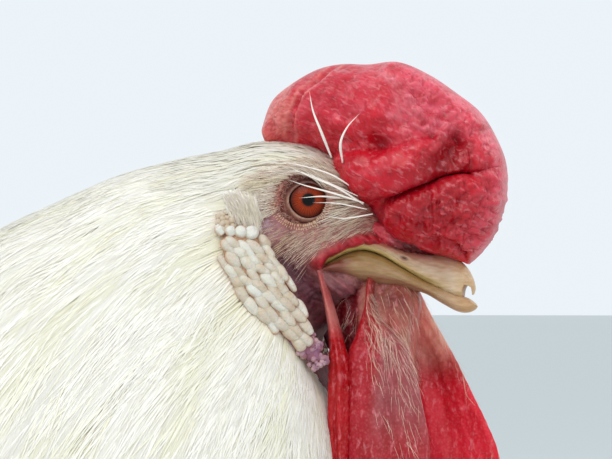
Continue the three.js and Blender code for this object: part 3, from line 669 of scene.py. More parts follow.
def bill_form(stations, last, rim_side):
    """A bill's half: an oval between top and bottom at each station, squared towards the mouth, with a
    rolled rim, a blunt tip, growth lines, and on the upper half a nostril on each side."""
    u, a = sweep(0, last, 160, 104)
    x, top, bottom, half = np.moveaxis(track(stations, u), -1, 0)
    tip = rounded_end(u, last - 0.35, 0.36)
    up, out = np.cos(a), np.sin(a)
    towards = smooth(up * rim_side, -0.1, 0.9)  # towards the mouth
    out = signed_power(out, 1 - 0.6 * towards)
    height = (top - bottom) / 2
    rim = 0.3 * bell(up * rim_side - 0.62, 0.22) * smooth(u, 1.0, 3.0)
    y = out * (half * tip + rim)
    z = (top + bottom) / 2 + up * height * tip
    lines = 0.05 * np.sin(a * 23 + 2 * np.sin(u * 1.3))
    lines = lines + 0.04 * np.sin(x * 2.9 + 2 * np.cos(a * 3)) * smooth(x, 18, 26)
    lines = lines + 0.09 * np.sin(x * 0.9 + z * 1.4 + 1.7 * np.sin(z * 0.8))
    if rim_side < 0:
        r = np.hypot((x - NOSTRIL[0]) / 1.2, (z - NOSTRIL[1] + 0.35 * (x - NOSTRIL[0])) / 0.5)
        y -= np.sign(out) * 0.8 * bell(r, 0.8)
        y += np.sign(out) * 0.2 * bell(r - 1.7, 0.6)
        notch = np.sqrt(np.clip(1 - ((x - 41.0) / 1.2) ** 2, 0, 1))
        z = z + 3.0 * notch * smooth(-up, 0.1, 0.95)  # a rounded bite behind the hooked tip
        ridge = 0.5 * bell(z + 16.6 + 0.42 * (x - 24), 0.9) * smooth(x, 14, 20) * (1 - smooth(x, 32, 38))
        y += np.sign(out) * ridge
    y += np.sign(out) * lines * np.abs(out)
    tone, wash = washer(colour(222, 200, 180), x.shape)
    if rim_side < 0:
        wash(colour(208, 182, 116), 0.9 * (1 - smooth(x, 14, 26)))
        wash(colour(208, 158, 146), 0.6 * smooth(up, -0.3, 0.7) * bell(x - 30, 9))
        wash(colour(222, 200, 128), 0.8 * bell(up * rim_side - 0.75, 0.3) * (1 - smooth(x, 30, 40)))
        wash(colour(178, 74, 76), 0.8 * smooth(z + 0.3 * (x - 14), -12.0, -9.4) * (1 - smooth(x, 28, 34)))
        wash(colour(96, 26, 22), bell(r, 0.8))
        wash(colour(222, 192, 148), 0.6 * smooth(x, 36.5, 40))
        wash(colour(176, 112, 62), 0.7 * notch * smooth(-up, 0.5, 0.95))
    else:
        wash(colour(190, 166, 98), 0.75 * smooth(up, 0.0, 0.5) * (1 - smooth(x, 29, 37)))
        wash(colour(206, 186, 130), 0.6 * bell(up + 0.1, 0.2) * (1 - smooth(x, 30, 38)))
        wash(colour(196, 150, 122), 0.6 * smooth(-up, 0.3, 0.8) * (1 - smooth(x, 24, 34)))
        wash(colour(186, 110, 84), 0.5 * bell(up + 0.45, 0.2) * smooth(x, 14, 20) * (1 - smooth(x, 30, 38)))
        wash(colour(226, 196, 156), 0.6 * smooth(x, 34, 42))
        wash(colour(170, 100, 100), 0.9 * smooth(-up, -0.75, -0.35) * (1 - smooth(x, 9, 14)))
    # Painted shade: a dark line along the edge where the two halves meet at the mouth.
    wash(colour(84, 48, 24), 0.95 * smooth(up * rim_side, 0.9, 0.98) * (1 - smooth(x, 37.5, 39.5)))
    # Darker overall, the lower half much darker and browner, both a little paler towards the tip.
    if rim_side < 0:
        darkening = np.array([0.8, 0.76, 0.7]) + 0.14 * smooth(x, 33, 40)[..., None]
    else:
        darkening = np.array([0.58, 0.47, 0.35]) + 0.22 * smooth(x, 30, 41)[..., None]
    return closed(np.stack([x, y, z], -1)), per_point(tone * darkening)


horn, horn_sockets = shader("horn", Roughness=0.36, Subsurface_Weight=0.12, Subsurface_Scale=0.002)
horn_place, horn_tint = place_on(horn), own_tint(horn)
grown_along = {"Vector": horn_place, "Scale": (160.0, 900.0, 1400.0), "Rotation": (0, 0.3, 0)}
horn_lines = noise(horn, node(horn, "ShaderNodeMapping", grown_along).outputs[0], 1.0, 5.0)
horn_dark = dimmed(horn, horn_tint, (0.84, 0.78, 0.68))
horn_tone = mix(horn, ramp(horn, horn_lines, 0.4, 0.65), horn_dark, horn_tint)
horn_patch = ramp(horn, noise(horn, horn_place, 240.0, 4.0), 0.42, 0.6)
horn_stained = dimmed(horn, horn_tone, (0.93, 0.86, 0.78))
join(horn, mix(horn, horn_patch, horn_stained, horn_tone), horn_sockets["Base Color"])
join(horn, bump(horn, horn_lines, 0.35, 0.0003), horn_sockets["Normal"])
for name, stations, rim_side in (("bill_upper", UPPER_BILL, -1), ("bill_lower", LOWER_BILL, 1)):
    bill, bill_tint = bill_form(stations, BILL_LAST, rim_side)
    add_piece(f"horn_{name}", bill, horn, "horn", name, tint=bill_tint)

# ---- Comb ----
# One thick fleshy mass that has grown over the forehead and the root of the bill, full of blood, and
# folded on itself: a smooth dome behind, a roll over a deep crease, and a lobe that hangs in front.

COMB = [  # upper end x, z; lower end x, z; half width
    (-13.8, 18, -12.5, 14.5, 4), (-13.3, 22, -10, 13.5, 9), (-10.7, 27.4, -6, 13, 12.5),
        (-5.5, 31.4, -1, 12.5, 14.5),
    (1.5, 35, 5, 10, 16.5), (8.2, 36.3, 10.5, 4.5, 18), (15.5, 36, 15, -2, 18.5),
        (23.3, 36.4, 19.5, -7.5, 19),
    (31.2, 32.9, 23.5, -11.2, 19), (38.2, 28, 27.5, -13, 18.5), (44.2, 23, 31, -14, 17.5),
        (48.2, 16.6, 34, -14.6, 16.5),
    (50.8, 9.4, 36.6, -15.2, 15), (50.8, 1.2, 38.6, -15.8, 13), (49.2, -5, 40, -16.3, 10),
        (46.8, -10.6, 41, -16.7, 7),
    (44, -14, 41.6, -16.4, 3),
]
RIDGES = [  # raised wrinkles on the slope before the dome
    [(20, 32.5), (27.2, 28.2), (28.7, 24.7), (32.3, 20.5), (39.6, 18.3), (46.7, 16.2)],
    [(29.4, 25.4), (34, 27), (38.1, 26.1), (45.4, 20.5)],
    [(23.6, 21.2), (32.3, 17.7), (40, 15.5)],
]
CREASE = [
    (12, -5), (16.8, -1.9), (19.2, -1.4), (22.4, -0.5), (25.1, 0.8), (28.9, 2.4), (34.5, 4.3), (38.4, 6.2),
    (41.1, 6.9), (45.1, 7.3), (47.8, 7.7), (52, 8.2),
]
ROLL = [(9, 3.5), (13.5, 5), (20, 5.7), (27, 7.4), (32.6, 9.6), (38, 11.2), (41, 12.2)]
BAND = [
    (23.4, 35), (29.9, 32.5), (36.5, 29.4), (43.2, 22.6), (47.9, 14.8), (50.4, 5.8), (49.1, -3.6),
    (45.4, -10.8),
]
STEP = [(13, 41), (19.5, 36.1), (24.5, 31.2), (27.9, 26.2), (30.2, 21.9), (31.1, 17.2), (30.7, 12)]
BACK = [(-4.6, 15), (-3.9, 20.1), (-2.9, 23.1), (-0.3, 27.4), (4.1, 31.6), (8, 37)]
DOME_EDGE = [(13, 36), (20, 33.5), (24.5, 29), (26.5, 22)]
NOTCH = [(24.8, -11.9), (29.6, -13.1), (34.3, -11), (36.2, -10.8), (39.3, -12.8), (40.8, -16.2)]
DOME = ((10.0, 25.0), (18.5, 11.4), np.radians(-4))  # middle, half length and height, lean
COMB_LAST = len(COMB) - 1
COMB_RIPPLES = [  # two waves' directions and lengths, and their depth
    (0.9, 0.45, 8.3, 0.3), (-0.35, 0.95, 9.7, 0.3), (0.6, -0.8, 5.1, 0.16), (0.97, 0.2, 2.9, 0.05),
                (0.2, 1.0, 2.3, 0.05),
]


def swelling(height, distance, reach):
    """A round-backed swelling of a given height over a level of -4, which it meets at its reach."""
    inside = np.sqrt(np.clip(1 - (distance / reach) ** 2, 0, 1))
    return (height + 4) * inside - 4 - 2.5 * np.clip(distance / reach - 1, 0, 3)


def comb_lines(x, z):
    """A field whose middle lines are the comb's fine wrinkles."""
    return waves(x * 0.75 + 0.4 * z, z * 1.25 - 0.5 * x, 43)


def lobe_stripes(x, z):
    """The angle of the fine stripes that ring the hanging lobe, one turn for each stripe."""
    return np.hypot(x - 16, (z + 2) * 0.7) * 2 * np.pi / 1.7


def comb_relief(x, z):
    """How far the comb's side stands out, how deep it lies in a fold, and how far the lips of the crease
    are drawn together. Five swellings meet in sharp creases: the dome behind, the bumpy slope before
    it, the roll, the hanging lobe and the band round the front. A pocket opens before the roll."""
    crease, along = near(CREASE, x, z)
    over = z - np.interp(x, *np.array(CREASE).T)
    roll, roll_along = near(ROLL, x, z)
    band, band_along = near(BAND, x, z)
    right_of = x - line_x(STEP, z)
    (mx, mz), (long, tall), lean = DOME
    dome_x = (x - mx) * np.cos(lean) + (z - mz) * np.sin(lean)
    dome_z = (z - mz) * np.cos(lean) - (x - mx) * np.sin(lean)
    from_dome = np.hypot(dome_x / long, dome_z / tall)
    dome = swelling(1.2, from_dome, 1.0)
    around = -1.6 * np.clip(from_dome - 1, 0, 1) - 1.5  # the dome's soft skirt
    slope = -0.9 - 0.12 * np.clip(right_of, 0, 12) - 4.5 * smooth(-right_of, 0, 5) - 3.0 * smooth(-over, -2,
                                                                                                  2)
    rough = smooth(right_of, 0, 5) * (1 - 0.95 * bell(np.hypot(x - 40, z - 12), 7))
    slope = slope + (0.6 * waves(x * 0.6, z * 0.6, 21) + 0.45 * waves(x * 1.5, z * 1.5, 31)) * rough
    for line in RIDGES:
        apart = near(line, x, z)[0]
        slope = slope + 1.1 * bell(apart, 1.1) - 0.5 * bell(apart - 2.4, 0.9)
    slope = np.maximum(slope, around - 4 * smooth(-over, -2, 2))
    ridge = swelling(2.6 - 1.2 * roll_along**2, roll, 7.9 - 3.2 * roll_along)
    under = np.clip(-over, 0, 30)
    lobe = -5.5 + 6.9 * (1 - np.exp(-under / 1.5)) * smooth(x, 14.5, 21.5)
    lobe = lobe - 0.014 * np.clip(np.hypot((x - 34) * 0.8, z + 3) - 3, 0, 20) ** 2
    lobe = lobe - 3.5 * smooth(over, -0.4, 0.8) - 1.2 * bell(np.hypot(x - 46, z + 8), 8)
    rim = swelling(0.2, band, 4.8)
    parts = np.stack([dome, slope, ridge, lobe, rim])
    top = np.sort(parts, axis=0)
    soft = 0.3 + 0.5 * smooth(z, 12, 18) * (1 - smooth(x, 30, 38))
    blend = soft * np.log(np.exp(np.clip((parts - top[-1]) / soft, -30, 0)).sum(0)) + top[-1]
    seam = bell(top[-1] - top[-2], 0.9) * smooth(-top[-1], 0.2, 2.5) * (1 - 0.7 * smooth(z, 12, 18))
    pocket = bell(np.hypot((x - 40.6) / 1.7, (z - 12.6 - 0.8 * (x - 40.6)) / 1.2), 3.6) * smooth(band, 2.6,
                                                                                                 4.4)
    crater = bell(np.hypot((x - 21.0) / 1.5, z - 13.8), 2.2)
    dimples = 2.0 * bell(np.hypot(x - 31, z + 7), 1.6) + 1.2 * bell(np.hypot(x - 25, z + 5.2), 1.3)
    back, notch = near(BACK, x, z)[0], near(NOTCH, x, z)[0]
    grooves = (
        5.2 * pocket + 3.4 * crater + dimples + 0.8 * bell(back, 1.0) + 2.2 * bell(notch, 1.2)
        + 2.2 * smooth(along, 0.1, 0.4) * bell(crease, 0.8) * smooth(52 - x, 2, 6)
    )
    ripple = sum(size * np.sin((x * i + z * j) * 2 * np.pi / length
                               + 2.1 * np.sin((z * i - x * j) * 0.37 + length))
                 for i, j, length, size in COMB_RIPPLES)
    stripes = 0.2 * np.sin(lobe_stripes(x, z)) * bell(np.hypot(x - 36, z + 3), 9)
    on_band = bell(band, 3.8) * smooth(band_along, 0.2, 0.4)
    wrinkles = 0.22 * np.sin(band_along * 130 + 1.2 * np.sin(band * 1.3)) * on_band
    wrinkles = wrinkles + 0.3 * waves(x * 1.1, z * 1.1, 41) * smooth(right_of, -2, 4)
    lines = bell(comb_lines(x, z), 0.22) * (0.35 + 0.65 * smooth(right_of, -3, 3))
    wrinkles = wrinkles - 0.42 * lines - 0.26 * bell(waves(x * 0.9, z * 0.7, 44), 0.2)
    squeeze = -1.6 * bell(np.maximum(over, 0), 2.6) * (over > 0) * smooth(along, 0.12, 0.4) * smooth(over, 0,
                                                                                                     0.8)
    grooves = grooves + 0.5 * bell(back, 2.4)
    deep = 0.8 * seam + 0.45 * (grooves - 1.2 * bell(back, 1.6)) / 2.5 + 0.35 * bell(crease,
                                                                                     1.5) * smooth(along,
                                                                                                   0.08, 0.3)
    return blend - grooves + ripple + stripes + wrinkles, np.clip(deep, 0, 1.5), squeeze


def comb_form():
    """An oval between each section's two ends, swept round, with its relief on both sides. The left side
    carries the same folds stretched and shallower. The relief fades out at the crest."""
    u, a = sweep(0, COMB_LAST, 250, 280)
    bx, bz, fx, fz, half = np.moveaxis(track(COMB, u), -1, 0)
    end = rounded_end(u, COMB_LAST - 0.7, 0.71) * np.sqrt(np.clip(u / 0.5, 0, 1))
    reach = signed_power(np.cos(a), 0.85) / 2 * (0.35 + 0.65 * end)
    x = (bx + fx) / 2 + reach * (bx - fx)
    z = (bz + fz) / 2 + reach * (bz - fz)
    y = half * end * signed_power(np.sin(a), 0.85)
    form = np.stack([x, y, z], -1)
    right = y < 0
    look_x, look_z = np.where(right, x, x * 0.93 + 2.5), np.where(right, z, z * 1.06 - 2.0)
    relief, deep, squeeze = comb_relief(look_x, look_z)
    side = smooth(np.abs(np.sin(a)), 0.15, 0.75) * smooth(u, 0.3, 1.6) * smooth(COMB_LAST - u, 0.1, 1.4)
    form -= grid_normals(form) * (side * relief * np.where(right, 1, 0.75))[..., None]
    form[..., 2] += squeeze * side
    return form, x, z, deep * side


def comb_colour(x, z, deep):
    """Crimson pink, paler over the dome and along its folds' lips, and peach on the band at the back.
    Painted shade darkens the pocket under the band and the insides of the folds to deep red, and the
    deepest places to near black."""
    tone, wash = washer(colour(206, 12, 38), x.shape)
    flush = 0.5 + 0.5 * waves(x * 0.5, z * 0.5, 51)
    fine = comb_lines(x, z)
    wash(colour(204, 58, 78), 0.85 * bell(np.hypot((x - 9) / 1.5, z - 28), 9))
    wash(colour(216, 84, 106), 0.85 * smooth(x, 20, 30) * smooth(z, 10, 22))
    for line in RIDGES:
        wash(colour(232, 142, 154), 0.45 * bell(near(line, x, z)[0], 0.8))
    wash(colour(226, 124, 134), 0.6 * bell(near(STEP, x, z)[0], 1.3) * smooth(z, 16, 22))
    wash(colour(196, 8, 34), 0.6 * bell(np.hypot(x - 36, z + 1), 9))
    wash(colour(228, 78, 98), 0.8 * bell(near(BAND, x, z)[0], 3.4))
    wash(colour(184, 6, 30), 0.45 * smooth(flush, 0.45, 0.8))
    wash(colour(216, 96, 106), 0.35 * smooth(-flush, -0.4, -0.1))
    wash(colour(220, 126, 116), 0.85 * smooth(-x, 2.6, 5.6) * smooth(z, 12, 18))
    wash(colour(226, 134, 124), 0.8 * bell(near(BACK, x, z)[0] - 1.5, 0.5))
    wash(colour(226, 132, 140), 0.4 * bell(near(DOME_EDGE, x, z)[0], 0.9))
    stripe = np.sin(lobe_stripes(x, z) + 0.9 * np.sin(z * 1.1) + 0.5 * np.sin(z * 2.7))
    striped = smooth(waves(x * 0.8, z * 0.8, 52), -0.1, 0.6) * bell(np.hypot(x - 37, (z + 2) * 0.8), 8)
    wash(colour(232, 128, 146), 0.35 * smooth(stripe, 0.75, 1.0) * striped)
    # Painted shadow in the pocket that the band overhangs before the roll.
    pocket = bell(np.hypot((x - 39.6) / 1.8, (z - 12 - 0.6 * (x - 39.6)) / 1.1), 4.0)
    wash(colour(150, 0, 10), 0.95 * pocket * smooth(near(BAND, x, z)[0], 2.4, 4.2))
    wash(colour(156, 0, 20), 0.75 * bell(np.hypot((x - 35) / 1.3, z + 3), 9))
    wash(colour(150, 8, 26), 0.4 * bell(fine, 0.22))
    wash(colour(228, 118, 132), 0.3 * bell(fine - 0.42, 0.16) * smooth(z, 4, 16))
    # Painted shade by fold depth: deep red in the folds, near black in the deepest.
    wash(colour(150, 4, 22), 0.95 * deep)
    wash(colour(60, 2, 12), smooth(deep, 1.1, 1.5))
    return tone


comb, comb_x, comb_z, comb_deep = comb_form()


def blood_skin(name, lean, stretch, **sockets):
    """Full-blooded wet skin: its own tint under fine pale lines and darker mottling, both drawn out in
    one direction, with a pebbled and lined bump."""
    made, inputs = shader(name, Subsurface_Scale=0.005, Subsurface_Radius=(1.0, 0.25, 0.15), **sockets)
    place, tint = place_on(made), own_tint(made)
    drawing = {"Vector": place, "Rotation": (0, lean, 0), "Scale": stretch}
    drawn = node(made, "ShaderNodeMapping", drawing, vector_type="TEXTURE").outputs[0]
    mottle = noise(made, drawn, 240.0, 5.0, Roughness=0.58)
    blotched = mix(made, ramp(made, mottle, 0.4, 0.62), dimmed(made, tint, (0.86, 0.52, 0.57)), tint)
    veins = noise(made, drawn, 900.0, 4.0, Roughness=0.55, Distortion=0.4)
    lined = mix(made, ramp(made, veins, 0.55, 0.68, 0.0, 0.3), blotched, paint(238, 148, 156))
    join(made, lined, inputs["Base Color"])
    pored = bump(made, cells(made, place, 1500.0), 0.25, 0.0003)
    join(made, bump(made, veins, 0.36, 0.0006, Normal=pored), inputs["Normal"])
    join(made, ramp(made, mottle, 0.3, 0.7, 0.26, 0.46), inputs["Roughness"])
    return made


comb_shine = {"Specular_IOR_Level": 0.27, "Coat_Weight": 0.18, "Coat_Roughness": 0.12}
comb_skin = blood_skin("comb_skin", 0.42, (2.6, 1.4, 1.0), Subsurface_Weight=0.12, **comb_shine)
comb_tint = per_point(comb_colour(comb_x, comb_z, comb_deep))
add_piece("comb_flesh", closed(comb), comb_skin, "comb_skin", "comb", tint=comb_tint)


POLE = 0.02  # how close an ovoid's first ring comes to its pole, as an angle


def comb_root():
    """The lumpy flesh between the comb's underside and the bill: an ovoid with a pebbled relief, drawn
    down towards the nostrils, pinker behind and dark red brown under the comb, partly the skin's own
    crust and partly painted shade."""
    v, a = sweep(POLE, np.pi - POLE, 80, 90)
    x = 22.5 + 13.5 * np.cos(v)
    lumps = 0.45 * waves(x * 1.6, a * 5, 61) + 0.3 * waves(x * 3.1, a * 11, 62)
    r = signed_power(np.sin(v), 0.8)
    size = 1 + lumps / 7
    y = (9.6 - 0.12 * (x - 12)) * r * np.sin(a) * size
    z = -8.6 - 0.19 * (x - 18) + 4.9 * r * np.cos(a) * size
    # Dark red brown in front, under the comb: partly the crusted skin, partly painted shade.
    tone = between(colour(204, 66, 78), colour(84, 14, 14), smooth(x + 2 * lumps, 20, 26))
    return closed(np.stack([x, y, z], -1)), per_point(tone)


root_form, root_tint = comb_root()
add_piece("comb_root", root_form, comb_skin, "comb_skin", tint=root_tint)

# ---- Wattles ----
# A thin soft leaf of skin hangs from each side of the jaw, with a narrow fold of the throat's skin
# behind it, and a pale pouch of throat skin between them. Red and pebbled below, pale at the root.

WATTLES = {  # z, rear x, front x, distance from the middle plane, half thickness
    "right": [
        (-17, 15.4, 17.6, 4.5, 1.2), (-22, 15.4, 17.6, 7.8, 1.3), (-27, 15.5, 18, 10.2, 1.4),
        (-31, 14.6, 20, 11.4, 1.6), (-35, 13.4, 24, 12.2, 1.9), (-40, 11.6, 28, 13, 1.9),
        (-50, 10.9, 30.8, 13.6, 1.9), (-66, 11, 33, 14.4, 1.9), (-78, 14, 31.5, 14.4, 1.9),
        (-85, 18, 27.5, 14, 1.9),
    ],
    "left": [
        (-17, 15, 22, 3, 3), (-22, 15.5, 26.5, 5.4, 3.2), (-28, 15.6, 29, 9, 2.8), (-34, 16, 31.8, 11, 2.2),
        (-42, 17, 36.2, 12.2, 1.9), (-51, 18.5, 40.3, 13, 1.9), (-67, 22, 47.2, 13.6, 1.9),
        (-79, 27.5, 46.5, 13.6, 1.9), (-86, 33, 42, 13, 1.9),
    ],
    "rear": [
        (-15.5, 2.2, 4.6, 11.6, 1.5), (-24, 4.4, 6.6, 11.6, 1.5), (-30, 5.8, 8.6, 12.4, 1.7),
        (-36, 6.8, 10.4, 13.2, 1.9), (-44, 6.6, 12.6, 13.6, 1.9), (-56, 6.8, 13, 14.4, 1.9),
        (-72, 8, 13, 14.8, 1.9),
    ],
}
POUCH = [(-16, 6, 21, 3.6), (-21, 5, 26.4, 5.4), (-26, 4.8, 28.2, 7.6), (-32, 6, 27.6, 9),
         (-39, 8.5, 26.6, 9.2),
         (-46, 10.5, 26, 8.4), (-54, 13, 24.6, 6.2), (-60, 15.5, 22.6, 3.4)]  # z, rear x, front x, half width


def leaf_form(stations, side, phase, rows=170, turns=130):
    """A cupped leaf: at each station an oval as wide as the leaf and a few millimetres thick, rounded at
    its end, creased by soft lengthwise waves and pebbled."""
    last = len(stations) - 1
    u, a = sweep(0, last, rows, turns)
    z, rear, front, out, thick = np.moveaxis(track(stations, u), -1, 0)
    end = rounded_end(u, last - 0.9, 0.9, 0.0025)
    z = z - 2.4 * smooth(u, last - 0.9, last)
    half = (front - rear) / 2 * end
    ragged = 0.3 * waves(z * 0.35, phase, 70) + 0.08 * waves(z * 1.2, phase, 75)
    x = (rear + front) / 2 + (half + ragged * smooth(u, 2, 4)) * np.cos(a)
    share = np.cos(a)
    wave = 0.7 * np.sin(share * 4.5 + phase + 0.035 * z) + 0.35 * np.sin(share * 9 + phase * 2 - 0.05 * z)
    pebble = 0.2 * waves(x * 0.9, z * 0.8, 71)
    pebble = pebble + 0.16 * waves(x * 2.6 + 1.5 * np.sin(z * 0.8), z * 2.2 + 1.5 * np.sin(x * 0.7), 72)
    body = thick * (0.5 + 0.5 * end) * np.sin(a) * (1 + 0.25 * bell(np.abs(share) - 0.9, 0.15))
    y = side * (out - 1.6 * end * share**2 + wave * end * (1 - share**6) * smooth(u, 2.5, 4.5)) + body
    y = y + np.sign(np.sin(a)) * pebble * np.abs(np.sin(a)) ** 0.5 * smooth(u, 1.0, 3.5)
    edge = smooth(np.abs(share), 0.72, 0.98)
    return np.stack([x, y, z], -1), edge, pebble


def pouch_form():
    """The throat's pouch: an oval at each station, with soft upright folds and fine pebbles."""
    last = len(POUCH) - 1
    u, a = sweep(0, last, 100, 120)
    z, rear, front, half = np.moveaxis(track(POUCH, u), -1, 0)
    end = rounded_end(u, last - 0.9, 0.9, 0.01)
    folds = 0.55 * np.sin(a * 7 + 1.1 * np.sin(z * 0.16)) + 0.3 * np.sin(a * 15 + 0.1 * z)
    folds = folds + 0.15 * waves(a * 12, z * 1.4, 73)
    x = (rear + front) / 2 + ((front - rear) / 2 + 0.5 * folds) * end * np.cos(a)
    y = (half + folds) * end * signed_power(np.sin(a), 0.8)
    return np.stack([x, y, z], -1), folds


def wattle_colour(form, edge, relief, kind):
    """Pale peach at the root, then full pink red with paler pebbles, and deeper red at the edges. The
    rear fold turns red lower down, and the pouch is pale in front and wine red behind, with a painted
    shadow high on it under the bill."""
    x, _, z = np.moveaxis(form, -1, 0)
    tone, wash = washer(colour(158, 6, 22), x.shape)
    blush = 0.5 + 0.5 * waves(x * 0.45, z * 0.3, 74)
    peach, pink, wine = colour(138, 60, 48), colour(178, 42, 56), colour(104, 10, 24)
    wash(pink, 0.6 * blush * (1 - edge))
    wash(pink, 0.7 * smooth(relief, 0.05, 0.35) * (1 - 0.5 * edge))
    wash(colour(168, 10, 26), 0.5 * smooth(-relief, 0.05, 0.3))
    if kind == "left":
        wash(colour(220, 30, 52), 0.85 * smooth(-z, 40, 52))
        wash(colour(252, 186, 162), (1 - smooth(-z, 31, 48)) * (0.75 + 0.25 * blush))
    elif kind == "right":
        wash(colour(152, 84, 86), 0.85 * smooth(x - 0.12 * (z + 34), 19, 23) * (1 - smooth(-z, 50, 68)))
        wash(peach, 0.85 * (1 - smooth(-z, 26, 35)))
        rear_edge = line_x([(15.4, -16), (15.8, -28), (14.4, -34), (11.8, -40), (11.2, -80)], z)
        wash(colour(184, 20, 36), 0.8 * bell(x - rear_edge, 0.9) * smooth(-z, 18, 24))
    elif kind == "rear":
        wash(colour(176, 2, 16), 0.85)
        wash(colour(186, 112, 104), 1 - smooth(-z, 30, 37))
    else:
        wash(colour(182, 112, 94), 1.0)
        # Painted shadow: darker brown high on the pouch, under the bill.
        shade = bell(z + 25 + 0.25 * (x - 20), 4.6) * smooth(x, 14.5, 17) * (1 - smooth(x, 24, 28.5))
        wash(colour(112, 52, 40), 0.85 * shade)
        wash(colour(196, 96, 82), 0.6 * blush * smooth(-z, 30, 40))
        wash(wine, 1 - smooth(x, 12.5, 16))
    return per_point(tone)


wattle_skin = blood_skin("wattle_skin", 0.0, (1.0, 1.0, 2.6), Subsurface_Weight=0.2, Specular_IOR_Level=0.3)
pebble_cells = cells(wattle_skin, place_on(wattle_skin), 1150.0)
pebble_share = ramp(wattle_skin, pebble_cells, 0.1, 0.55, 0.1, 0.0)
wattle_base = wattle_skin.node_tree.nodes["Principled BSDF"].inputs["Base Color"]
pebbled = mix(wattle_skin, pebble_share, wattle_base.links[0].from_socket, paint(236, 150, 146))
join(wattle_skin, pebbled, wattle_base)
for side, label in SIDES:
    front_leaf, front_edge, front_relief = leaf_form(WATTLES[label], side, 1.0 + side)
    rear_leaf, rear_edge, rear_relief = leaf_form(WATTLES["rear"], side, 2.0, 110, 60)
    wattle = together(closed(front_leaf), closed(rear_leaf))
    wattle_tint = np.vstack([wattle_colour(front_leaf, front_edge, front_relief, label),
                             wattle_colour(rear_leaf, rear_edge, rear_relief, "rear")])
    add_piece(f"wattle_flesh_{label}", wattle, wattle_skin, "comb_skin", f"wattle_{label}", tint=wattle_tint)
pouch, pouch_folds = pouch_form()
pouch_tint = wattle_colour(pouch, 0 * pouch_folds, pouch_folds, "pouch")
add_piece("throat_pouch", closed(pouch), wattle_skin, "comb_skin", tint=pouch_tint)

# ---- Ear lobes ----
# A long white pad behind and below each eye, thick and soft, made of cords of skin that run down and
# forward and are beaded like rope, with amber in the gaps, partly the skin's own colour and partly
# painted shade, and purple pebbles at the lower tip.

LOBE = [  # x, z, distance from the middle plane, half width
    (-16.2, -6.6, 20.6, 5.4), (-13.6, -12.6, 20.9, 6.2), (-10.4, -19, 20.9, 6.5), (-7.4, -24.4, 20.6, 6.3),
    (-3.6, -29.6, 19.4, 5.1), (-0.6, -34.4, 17.8, 3.5), (2.4, -38.6, 16.2, 2.8), (5.4, -42.6, 14.8, 1.7),
]
LOBE_THICK = 3.0
LOBE_ALONG = np.array([0.5, 0, -0.866])
LOBE_TILT = 0.5  # how far the lobe's rear edge lies further out than its front edge, for each mm across


def lobe_axes(side):
    """The lobe's axes along it, across it (forward and up, and inward as the neck widens behind), and out."""
    across_it = unit(np.array([0.866, -side * LOBE_TILT, 0.5]))
    out = np.cross(LOBE_ALONG, across_it)
    return LOBE_ALONG, across_it, unit(out) * side * np.sign(out[1])


def unit(vector):
    """Vectors of the same directions and length 1."""
    return vector / np.maximum(np.linalg.norm(vector, axis=-1, keepdims=True), 1e-9)


def lobe_pad(side):
    """The pad: an oval across each station of the lobe's line."""
    last = len(LOBE) - 1
    u, a = sweep(0, last, 60, 60)
    x, z, out, half = np.moveaxis(track(LOBE, u), -1, 0)
    end = rounded_end(u, last - 0.7, 0.71, 0.001) * np.sqrt(np.clip(u / 0.4, 0.001, 1))
    _, across_it, outward_it = lobe_axes(side)
    form = np.stack([x, side * out, z], -1) + across_it * (0.88 * half * end * np.cos(a))[..., None]
    return form + outward_it * ((LOBE_THICK - 1.2) * end * np.sin(a))[..., None]


def bead(middle, long, wide, tall, lean, side):
    """A rounded bead: an ovoid with the given half sizes, its length turned by lean in the lobe's face.
    Also how far each point faces outwards."""
    v, a = sweep(POLE, np.pi - POLE, 13, 14)
    along_it, across_it, outward_it = lobe_axes(side)
    axis = np.cos(lean) * along_it + np.sin(lean) * across_it
    cross = -np.sin(lean) * along_it + np.cos(lean) * across_it
    wide, tall = wide * (1 + 0.1 * np.sin(3 * v + 5 * long)), tall * (1 + 0.12 * np.sin(4 * v + 9 * wide))
    form = middle + axis * (long * signed_power(np.cos(v), 0.85))[..., None]
    form = form + cross * (wide * signed_power(np.sin(v), 0.8) * np.cos(a))[..., None]
    form = form + outward_it * (tall * signed_power(np.sin(v), 0.8) * np.sin(a))[..., None]
    return form, np.sin(v) * np.sin(a)


rng = np.random.default_rng(7)
CORD_LEAN = np.radians(5)  # the cords run forward of the lobe's own line
CORD_APART, CORD_LENGTH, PURPLE_FROM = 2.25, 43, 34.5
TOP_ROW = (2.6, 0.577)  # how far down the lobe the level row of beads lies, and its slant for each mm across
SMALL_BEADS = [  # down the lobe and across it, at its upper rear corner
    (0.1, -4.6), (0.3, -3.5), (0.5, -2.3), (0.7, -1.0), (-1.1, -4.1), (-1.2, -2.9), (-0.9, -1.7),
               (-2.3, -3.4),
    (-2.4, -2.1), (-2.1, -0.9), (-3.5, -2.6), (-3.5, -1.4), (-0.8, -0.4), (-1.9, 0.3),
]
AMBER = colour(200, 160, 134)
BEAD_WHITE, BEAD_CREAM = colour(224, 222, 214), colour(204, 191, 174)
BEAD_PURPLE, BEAD_MAUVE = colour(148, 96, 124), colour(206, 172, 186)
PURPLE_CLUSTER = 7


